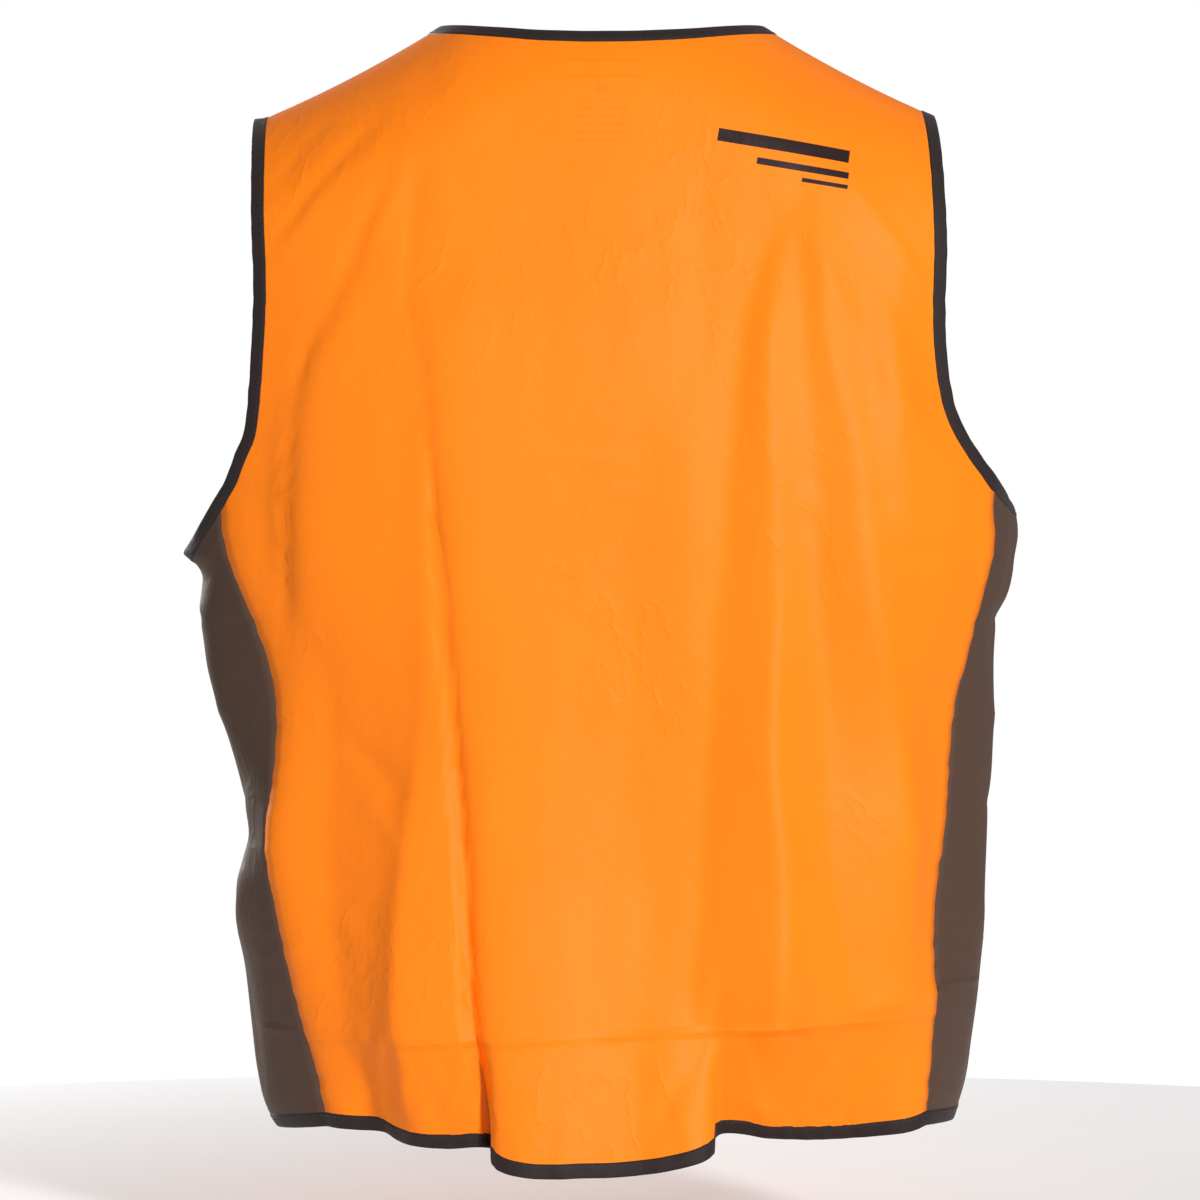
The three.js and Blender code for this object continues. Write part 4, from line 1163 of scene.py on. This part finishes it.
def cloth_finish(name, colour, seed, crease_levels=(), prints=None, ink=None, ink_strength=1.0,
                 painted_show_through=None,
                 sheen=0.03):
    """Fine plain-woven polyester, with thread streaks, packing creases and any plain printed marks, and a
    faint painted shade where marks printed on the inside show through the thin cloth.
    """
    f = Finish(name)
    u, v, threads, warp, weft = plain_weave(f, THREAD_PITCH)
    x, y, z = f.object_place()
    cloud = f.noise(f.vector(u * 1.0, v * 0.6, seed), 9.0, 3.0, 0.55)
    streaks = warp * 0.55 + weft * 0.45
    tone = (streaks - 0.5) * 0.55 + (cloud - 0.5) * 0.35 + 0.5
    shade = f.mix(tone.ramp(0.18, 0.82), scaled(colour, 0.90), scaled(colour, 1.06))
    crumple = f.noise(f.vector(u * 1.0, v * 0.75, seed + 3.0), 34.0, 4.0, 0.62)
    fine = f.noise(f.vector(u * 1.2, v * 0.8, seed + 5.0), 21.0, 3.0, 0.55)
    line = (1 - abs(fine * 2 - 1)) ** 14.0
    patch = f.noise(f.vector(u, v, seed + 8.0), 7.0, 2.0).ramp(0.48, 0.66)
    normal = f.bump(crumple * 0.75 + line * patch * 0.3, 0.5, 0.0026)
    if crease_levels:
        total = None
        for left_level, right_level, height in crease_levels:
            level = x * ((left_level - right_level) / 0.36) + (left_level + right_level) / 2
            wobble = (f.noise(f.vector(x, 0.0, seed + left_level), 14.0, 2.0) - 0.5) * 0.006
            offset = abs(z - level - wobble)
            line = (1 - (offset / 0.0042).least(1.0)) * height
            patchy = f.noise(f.vector(x, 0.0, seed + 9.0 + left_level), 17.0, 1.0).ramp(0.38, 0.6)
            line = line * (patchy * 0.75 + 0.25)
            total = line if total is None else total + line
        normal = f.bump(total, 0.8, 0.002, normal)
    normal = f.bump(threads, 0.10, 0.00012, normal)
    rough = 0.56 + (streaks - 0.5) * 0.18 + (cloud - 0.5) * 0.1
    if prints:
        worn = f.noise(f.vector(u * 2600, v * 2600, 2.0), 1.0, 1.0).ramp(0.12, 0.3)
        mask = marks_mask(x, z, prints) * (y > 0.0) * (worn * 0.12 + 0.88) * ink_strength
        # Painted shade: the marks printed inside the neck darken the outer colour a little, in place of light
        # passing through the thin cloth.
        if painted_show_through:
            mask = mask.most(marks_mask(x, z, painted_show_through) * (y > 0.0) * 0.09)
        shade = f.mix(mask, shade, ink)
        rough = rough - mask * 0.12
    return f.shade(shade, rough, normal, Sheen_Weight=sheen, Sheen_Roughness=0.45, Specular_IOR_Level=0.2,
                   Sheen_Tint=(*scaled(colour, 1.1), 1.0))


def binding_finish(name, colour):
    """Folded woven tape: fine ribs across it, fine threads along it and slow unevenness."""
    f = Finish(name)
    u, v = f.pattern_place()
    ribs = (u * (2 * math.pi / 0.0011)).sine()
    threads = (v * (2 * math.pi / 0.0007)).sine()
    cloud = f.noise(f.vector(u, v), 60.0, 3.0)
    fine = f.noise(f.vector(u * 900, v * 2600), 1.0, 2.0)
    tone = (ribs * 0.22 + threads * 0.10 + (cloud - 0.5) * 0.5 + (fine - 0.5) * 0.6) + 0.5
    shade = f.mix(tone.ramp(0.0, 1.0), scaled(colour, 0.55), scaled(colour, 2.1))
    normal = f.bump(ribs * 0.6 + threads * ribs * 0.5, 0.5, 0.00022)
    normal = f.bump(cloud, 0.2, 0.0008, normal)
    return f.shade(shade, 0.62 + (cloud - 0.5) * 0.2, normal, Sheen_Weight=0.22, Sheen_Roughness=0.4,
                   Specular_IOR_Level=0.3, Sheen_Tint=(0.35, 0.28, 0.26, 1.0))


def zip_tape_finish(name, colour):
    """Herringbone twill of a zip's tape."""
    f = Finish(name)
    x, y, z = f.object_place()
    band = (x * (2 * math.pi / 0.0036)).sine() > 0.0
    slope = z + x * (band * 2 - 1)
    twill = (slope * (2 * math.pi / 0.0009)).sine()
    cloud = f.noise(f.vector(x, y, z), 120.0, 3.0)
    tone = twill * 0.25 + (cloud - 0.5) * 0.7 + 0.5
    shade = f.mix(tone.ramp(0.0, 1.0), scaled(colour, 0.6), scaled(colour, 1.9))
    normal = f.bump(twill, 0.45, 0.0002)
    return f.shade(shade, 0.66 + (cloud - 0.5) * 0.16, normal, Sheen_Weight=0.2, Sheen_Roughness=0.4,
                   Specular_IOR_Level=0.3)


def thread_finish(name, colour):
    """Twisted sewing thread."""
    f = Finish(name)
    x, y, z = f.object_place()
    twist = ((x + y + z) * (2 * math.pi / 0.0006)).sine()
    shade = f.mix((twist * 0.5 + 0.5), scaled(colour, 0.7), scaled(colour, 1.5))
    return f.shade(shade, 0.5, f.bump(twist, 0.4, 0.0001), Sheen_Weight=0.2, Specular_IOR_Level=0.35)


def nylon_finish(name, colour, gloss=0.36):
    """Moulded or drawn nylon with fine flow lines and a few scuffs."""
    f = Finish(name)
    x, y, z = f.object_place()
    grain = f.noise(f.vector(x, y, z * 0.4), 900.0, 3.0)
    scuff = f.noise(f.vector(x, y, z), 240.0, 4.0, 0.65)
    worn = scuff.ramp(0.56, 0.72)
    shade = f.mix(worn, scaled(colour, 0.85), scaled(colour, 2.6))
    normal = f.bump(grain, 0.12, 0.00008)
    return f.shade(shade, gloss + worn * 0.25 + (grain - 0.5) * 0.1, normal, Specular_IOR_Level=0.5)


def enamel_finish(name, colour):
    """Black enamel on cast zinc, rubbed on its proud edges and scratched along the way it slides."""
    f = Finish(name)
    x, y, z = f.object_place()
    rubbed = f.node("ShaderNodeNewGeometry").outputs["Pointiness"]
    edge = Value(f, rubbed).ramp(0.53, 0.60)
    patches = f.noise(f.vector(x, y, z), 520.0, 4.0, 0.7).ramp(0.45, 0.62)
    wear = edge * patches
    scratch = f.noise(f.vector(x * 2600, y * 600, z * 160), 1.0, 2.0)
    lines = scratch.ramp(0.62, 0.72)
    shade = f.mix(wear * 0.8 + lines * 0.1, colour, (0.30, 0.29, 0.28))
    normal = f.bump(scratch, 0.08, 0.00006)
    return f.shade(shade, 0.26 + lines * 0.2 + wear * 0.1, normal, Metallic=wear * 0.85, Coat_Weight=0.35,
                   Coat_Roughness=0.12, Specular_IOR_Level=0.55)


def finish_piece(piece, material):
    piece.data.materials.clear()
    piece.data.materials.append(material)


def made_finish(name, make):
    """The named material, made once."""
    return bpy.data.materials.get(name) or make()


# ---------------------------------------------------------------- fittings from the frame


def refined(name, node, bevel, segments=2):
    """A node's shape as a finished piece: its facets merged and its edges rounded."""
    source = bpy.data.objects[frame_object(node)]
    work = bmesh.new()
    work.from_mesh(source.data)
    work.transform(source.matrix_world)
    bmesh.ops.remove_doubles(work, verts=work.verts, dist=1e-6)
    bmesh.ops.dissolve_limit(work, angle_limit=math.radians(1.5), verts=work.verts, edges=work.edges)
    mesh = bpy.data.meshes.new(name)
    work.to_mesh(mesh)
    work.free()
    piece = link(bpy.data.objects.new(name, mesh))
    rounding = piece.modifiers.new("rounded edges", "BEVEL")
    rounding.width = bevel / 1000
    rounding.segments = segments
    rounding.limit_method = "ANGLE"
    rounding.angle_limit = math.radians(25)
    rounding.harden_normals = False
    mesh.polygons.foreach_set("use_smooth", [True] * len(mesh.polygons))
    sharp = piece.modifiers.new("even shading", "WEIGHTED_NORMAL")
    sharp.keep_sharp = True
    return piece


def frame_object(node):
    """Name of the object that shows a node of the frame."""
    return next(o.name for o in bpy.data.objects if o.get("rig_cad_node") == node or o.name == node)


# ---------------------------------------------------------------- operators

PANELS = {
    "back": ("back_panel", "blaze_cloth"),
    "front_left": ("front_panel_left", "blaze_cloth"),
    "front_right": ("front_panel_right", "blaze_cloth"),
    "side_left": ("side_panel_left", "brown_cloth"),
    "side_right": ("side_panel_right", "brown_cloth"),
}
# Plain marks on the right shoulder blade: middle, width, height and tilt.
BACK_MARKS = [((-0.1170, -0.0865), 0.0860, 0.0085, 0.16), ((-0.1290, -0.1015), 0.0600, 0.0045, 0.16),
              ((-0.1430, -0.1115), 0.0300, 0.0028, 0.16)]
# Plain bars in place of the print inside the neck.
NECK_MARKS = [((0.0, -0.030), 0.050, 0.0016, 0.0), ((0.0, -0.041), 0.050, 0.0016, 0.0),
              ((0.0, -0.049), 0.009, 0.006, 0.0)] + [
    ((0.0, -0.058 - 0.0052 * k), 0.030 + 0.008 * ((k * 7) % 3) / 2, 0.0012, 0.0) for k in range(6)]
CREASES = [(-0.664, -0.650, 0.8)]


def settings():
    return bpy.context.scene.vest_sizes, bpy.context.scene.vest_colours


def layout():
    return Layout(settings()[0])


class VEST_OT_sew_panels(bpy.types.Operator):
    """Lay out the back, the two fronts and the two side panels, with their folds"""
    bl_idname = "vest.sew_panels"
    bl_label = "Sew Panels"

    def execute(self, context):
        sizes, colours = settings()
        laid = layout()
        finishes = {
            "back": cloth_finish("blaze_back", colours.blaze, 1.0, CREASES, BACK_MARKS, colours.print_ink,
                                 1.0, NECK_MARKS),
            "front_left": cloth_finish("blaze_front_left", colours.blaze, 5.0, CREASES),
            "front_right": cloth_finish("blaze_front_right", colours.blaze, 8.0, CREASES),
            "side_left": cloth_finish("brown_side_left", colours.brown, 3.0, [(-0.66, -0.66, 0.8)],
                                      sheen=0.3),
            "side_right": cloth_finish("brown_side_right", colours.brown, 6.0, [(-0.63, -0.63, 1.0)],
                                       sheen=0.3),
        }
        inside = cloth_finish("blaze_inside", colours.blaze, 1.0, CREASES, NECK_MARKS, colours.print_ink, 0.8)
        for key, (node, slot) in PANELS.items():
            piece = cloth_panel("cloth_" + key, laid.points[key], laid.places[key], sizes.cloth_thickness)
            finish_piece(piece, finishes[key])
            piece.data.materials.append(inside if key == "back" else finishes[key])
            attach(piece, "vest")
            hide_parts(node)
        return {"FINISHED"}


def edge_runs(laid):
    """The free edges of the sewn cloth: round the neck, each armhole and the hem."""
    p, arm = laid.points, laid.arm_rows
    sh, nk = laid.shoulder_columns, laid.neck_columns // 2
    back_top = p["back"][0]
    fronts = {LEFT: p["front_left"], RIGHT: p["front_right"]}
    neck = join_runs([fronts[LEFT][0, :nk + 1], back_top[sh:sh + 2 * nk + 1],
                      fronts[RIGHT][0, :nk + 1][::-1]])
    runs = {"neck": (neck, False)}
    for wing, key in ((LEFT, "left"), (RIGHT, "right")):
        back_side = p["back"][:arm + 1, 0 if wing == LEFT else -1]
        under = p["side_" + key][0]
        front_side = fronts[wing][:arm + 1, -1][::-1]
        runs["armhole_" + key] = (join_runs([back_side, under, front_side])[:-1], True)
    hem = join_runs([fronts[LEFT][-1], p["side_left"][-1][::-1], p["back"][-1], p["side_right"][-1],
                     fronts[RIGHT][-1][::-1]])
    runs["hem"] = (hem, False)
    return runs


class VEST_OT_bind_edges(bpy.types.Operator):
    """Fold tape round the neckline, the armholes and the hem, and stitch it down"""
    bl_idname = "vest.bind_edges"
    bl_label = "Bind Edges"

    def execute(self, context):
        sizes, colours = settings()
        laid = layout()
        tree = surface_tree(laid.points.values())
        finish = binding_finish("binding_tape", colours.tape)
        thread = thread_finish("dark_thread", scaled(colours.tape, 1.6))
        group = along_path_tree("stitches along an edge")
        nodes = {"neck": "neck_binding", "armhole_left": "armhole_binding_left",
                 "armhole_right": "armhole_binding_right", "hem": "hem_binding"}
        for key, (run, is_loop) in edge_runs(laid).items():
            piece, lines = bound_edge("binding_" + key, tree, run, is_loop, sizes)
            finish_piece(piece, finish)
            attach(piece, "vest")
            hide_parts(nodes[key])
            sewn = grown("stitches_" + key, lines, group, {
                "Pitch": sizes.stitch_pitch, "Length": sizes.stitch_length, "Radius": sizes.thread_radius,
                "Seed": 4, "Finish": thread})
            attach(sewn, "vest")
        return {"FINISHED"}


def offset_line(points, tree, lift):
    """A run of points set off the cloth's outer face."""
    found = [tree.find_nearest(Vector(p)) for p in points]
    return np.array([np.array(f[0][:]) + np.array(f[1][:]) * lift for f in found])


class VEST_OT_stitch_seams(bpy.types.Operator):
    """Topstitch the shoulder seams and the front edges beside the zip"""
    bl_idname = "vest.stitch_seams"
    bl_label = "Stitch Seams"

    def execute(self, context):
        sizes, colours = settings()
        laid = layout()
        tree = surface_tree(laid.points.values())
        thread = thread_finish("blaze_thread", colours.blaze)
        group = along_path_tree("stitches along a seam")
        lift = sizes.cloth_thickness * 500 + 0.08
        trim = 4
        lines = []
        for wing, key in ((LEFT, "left"), (RIGHT, "right")):
            front = laid.points["front_" + key]
            nk = laid.neck_columns // 2
            lines.append((offset_line(front[1, nk + 2:-3], tree, lift), False))
            centre = front[trim:-trim, 0]
            for aside in (2.0, 7.5):
                shifted = centre + np.array([wing * aside, 0, 0])
                lines.append((offset_line(shifted, tree, lift), False))
            back = laid.points["back"]
            row = back[1, 3:laid.shoulder_columns - 1] if wing == LEFT else back[1,
                                                                                 -laid.shoulder_columns + 1:
                                                                                 -3]
            lines.append((offset_line(row, tree, lift), False))
        piece = grown("stitches_seams", lines, group, {
            "Pitch": sizes.stitch_pitch * 0.85, "Length": sizes.stitch_length * 0.85,
            "Radius": sizes.thread_radius * 0.9,
            "Seed": 9, "Finish": thread})
        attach(piece, "vest")
        return {"FINISHED"}


class VEST_OT_fit_zip_tapes(bpy.types.Operator):
    """Set the two woven tapes of the zip behind the fronts' edges"""
    bl_idname = "vest.fit_zip_tapes"
    bl_label = "Fit Zip Tapes"

    def execute(self, context):
        colours = settings()[1]
        finish = zip_tape_finish("zip_twill", colours.tape)
        for key in ("left", "right"):
            piece = refined("zip_twill_" + key, "zip_tape_" + key, 0.18)
            finish_piece(piece, finish)
            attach(piece, "vest")
            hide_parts("zip_tape_" + key)
        return {"FINISHED"}


# How much nearer to the other coil the turns reach than the plain bar does.
# Rather more than this cuts into the slider.
COIL_REACH = 0.16


class VEST_OT_wind_coils(bpy.types.Operator):
    """Wind the two nylon coils of the zip round their core cords"""
    bl_idname = "vest.wind_coils"
    bl_label = "Wind Coils"

    def execute(self, context):
        sizes, colours = settings()
        finish = nylon_finish("coil_filament", colours.nylon)
        group = coil_tree("turns of a zip coil")
        for sign, key in ((LEFT, "left"), (RIGHT, "right")):
            low, high = box_of("zip_coil_" + key)
            middle = (low + high) / 2
            reach = COIL_REACH
            x = middle[0] - sign * reach / 2
            run = np.array([[x, middle[1], high[2] - 0.6], [x, middle[1], low[2] + 0.6]])
            half_turn = 0.0 if sign == LEFT else sizes.turn_pitch * 500
            run[:, 2] -= half_turn
            piece = grown("coil_turns_" + key, [(run, False)], group, {
                "Pitch": sizes.turn_pitch, "Width": (high[0] - low[0] + reach) / 1000,
                "Thickness": (high[1] - low[1]) / 1000, "Filament": sizes.filament_radius,
                "Lean": 0.16 * sign,
                "Finish": finish})
            cord_x = middle[0] + sign * 0.1
            core = np.array([[cord_x, middle[1], high[2]], [cord_x, middle[1], low[2]]])
            ring = np.array([[math.cos(a), math.sin(a)] for a in np.linspace(0, 2 * math.pi, 9)[:-1]])
            rings = np.stack([np.concatenate([ring * [0.75, 0.55], np.zeros((8, 1))],
                                             axis=1) + end for end in core])
            filler = mesh_piece("coil_core_" + key, rings.reshape(-1, 3), tube(rings, False))
            outward(filler)
            finish_piece(filler, made_finish("core_cord", lambda: thread_finish("core_cord",
                                                                                scaled(colours.tape, 1.2))))
            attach(piece, "vest")
            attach(filler, "vest")
            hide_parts("zip_coil_" + key)
        return {"FINISHED"}


class VEST_OT_fit_zip_ends(bpy.types.Operator):
    """Set the zip's top stops, its insertion pin and its retainer box"""
    bl_idname = "vest.fit_zip_ends"
    bl_label = "Fit Zip Ends"

    def execute(self, context):
        colours = settings()[1]
        finish = nylon_finish("moulded_nylon", colours.nylon, 0.42)
        for name, node, bevel in (("stop_left", "top_stop_left", 0.5), ("stop_right", "top_stop_right", 0.5),
                                  ("pin", "insertion_pin", 0.45), ("box", "retainer_box", 0.3)):
            piece = refined("zip_" + name, node, bevel, 3)
            finish_piece(piece, finish)
            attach(piece, "vest")
            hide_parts(node)
        return {"FINISHED"}


class VEST_OT_fit_slider(bpy.types.Operator):
    """Set the cast slider on the zip"""
    bl_idname = "vest.fit_slider"
    bl_label = "Fit Slider"

    def execute(self, context):
        finish = made_finish("black_enamel", lambda: enamel_finish("black_enamel", settings()[1].enamel))
        piece = refined("slider_casting", "slider_body", 0.28, 3)
        finish_piece(piece, finish)
        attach(piece, "slider")
        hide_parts("slider_body")
        return {"FINISHED"}


class VEST_OT_fit_pull(bpy.types.Operator):
    """Hang the pull on the slider's bail"""
    bl_idname = "vest.fit_pull"
    bl_label = "Fit Pull"

    def execute(self, context):
        finish = made_finish("black_enamel", lambda: enamel_finish("black_enamel", settings()[1].enamel))
        piece = refined("pull_casting", "pull_tab", 0.3, 3)
        finish_piece(piece, finish)
        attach(piece, "pull")
        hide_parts("pull_tab")
        return {"FINISHED"}


def area_light(name, place, aim, size, power, colour=(1, 1, 1)):
    data = bpy.data.lights.new(name, "AREA")
    data.shape = "DISK"
    data.size = size
    data.energy = power
    data.color = colour
    light = link(bpy.data.objects.new(name, data))
    light.location = place
    light.rotation_euler = (Vector(aim) - Vector(place)).to_track_quat("-Z", "Y").to_euler()
    return light


class VEST_OT_set_stage(bpy.types.Operator):
    """Lay the pale floor, hang the lights and place the camera behind the vest"""
    bl_idname = "vest.set_stage"
    bl_label = "Set Stage"

    def execute(self, context):
        scene = context.scene
        f = Finish("pale_floor")
        x, y, z = f.object_place()
        mottle = f.noise(f.vector(x, y, z), 3.0, 2.0)
        material = f.shade(f.mix(mottle, (0.86, 0.86, 0.86), (0.90, 0.90, 0.90)), 0.8, None,
                           Specular_IOR_Level=0.1)
        level = CAD_BOX[0][2] - 0.06
        rim = [(1.15 * math.cos(a), 1.15 * math.sin(a), level) for a in np.linspace(0, 2 * math.pi, 97)[:-1]]
        mesh = bpy.data.meshes.new("floor")
        mesh.from_pydata(rim, [], [list(range(len(rim)))])
        floor = link(bpy.data.objects.new("floor", mesh))
        finish_piece(floor, material)

        world = bpy.data.worlds.new("studio")
        world.use_nodes = True
        nodes, links = world.node_tree.nodes, world.node_tree.links
        # The sheet behind the vest is lit to plain white, which is brighter than the light it gives back.
        behind = nodes.new("ShaderNodeBackground")
        behind.inputs[1].default_value = 1.0
        around = nodes["Background"]
        around.inputs[1].default_value = 0.36
        for one in (behind, around):
            one.inputs[0].default_value = (1, 1, 1, 1)
        seen = nodes.new("ShaderNodeLightPath")
        both = nodes.new("ShaderNodeMixShader")
        links.new(seen.outputs["Is Camera Ray"], both.inputs[0])
        links.new(around.outputs[0], both.inputs[1])
        links.new(behind.outputs[0], both.inputs[2])
        links.new(both.outputs[0], nodes["World Output"].inputs["Surface"])
        scene.world = world
        area_light("key", (-2.3, 4.3, 0.9), (0, 0.05, -0.38), 0.9, 246)
        area_light("fill", (2.6, 2.2, 0.0), (0, 0, -0.4), 2.2, 14)
        area_light("front_key", (2.0, -3.1, 0.6), (0, -0.05, -0.38), 0.8, 122)
        scene.view_settings.view_transform = "Standard"

        data = bpy.data.cameras.new("camera")
        data.sensor_width = 36
        data.lens = 144.36
        data.clip_end = 60
        camera = link(bpy.data.objects.new("camera", data))
        camera.location = (0.0013, 3.2, -0.379)
        camera.rotation_euler = (math.pi / 2, 0, math.pi)
        scene.camera = camera
        return {"FINISHED"}


class VEST_PT_steps(bpy.types.Panel):
    bl_idname = "VEST_PT_steps"
    bl_label = "Over-Vest"
    bl_space_type = "VIEW_3D"
    bl_region_type = "UI"
    bl_category = "Vest"

    def draw(self, context):
        layout = self.layout
        for group in (context.scene.vest_sizes, context.scene.vest_colours):
            box = layout.box()
            for key in group.__annotations__:
                box.prop(group, key)
        for step in STEPS:
            layout.operator(step.bl_idname)


STEPS = (VEST_OT_set_stage, VEST_OT_sew_panels, VEST_OT_bind_edges, VEST_OT_stitch_seams,
         VEST_OT_fit_zip_tapes,
         VEST_OT_wind_coils, VEST_OT_fit_zip_ends, VEST_OT_fit_slider, VEST_OT_fit_pull)
CLASSES = (VestSizes, VestColours, *STEPS, VEST_PT_steps)


def register():
    for cls in CLASSES:
        bpy.utils.register_class(cls)
    bpy.types.Scene.vest_sizes = bpy.props.PointerProperty(type=VestSizes)
    bpy.types.Scene.vest_colours = bpy.props.PointerProperty(type=VestColours)


def unregister():
    del bpy.types.Scene.vest_colours
    del bpy.types.Scene.vest_sizes
    for cls in reversed(CLASSES):
        bpy.utils.unregister_class(cls)


def main():
    register()
    for step in STEPS:
        family, name = step.bl_idname.split(".")
        getattr(getattr(bpy.ops, family), name)()
    bpy.context.view_layer.update()


if __name__ == "__main__":
    main()
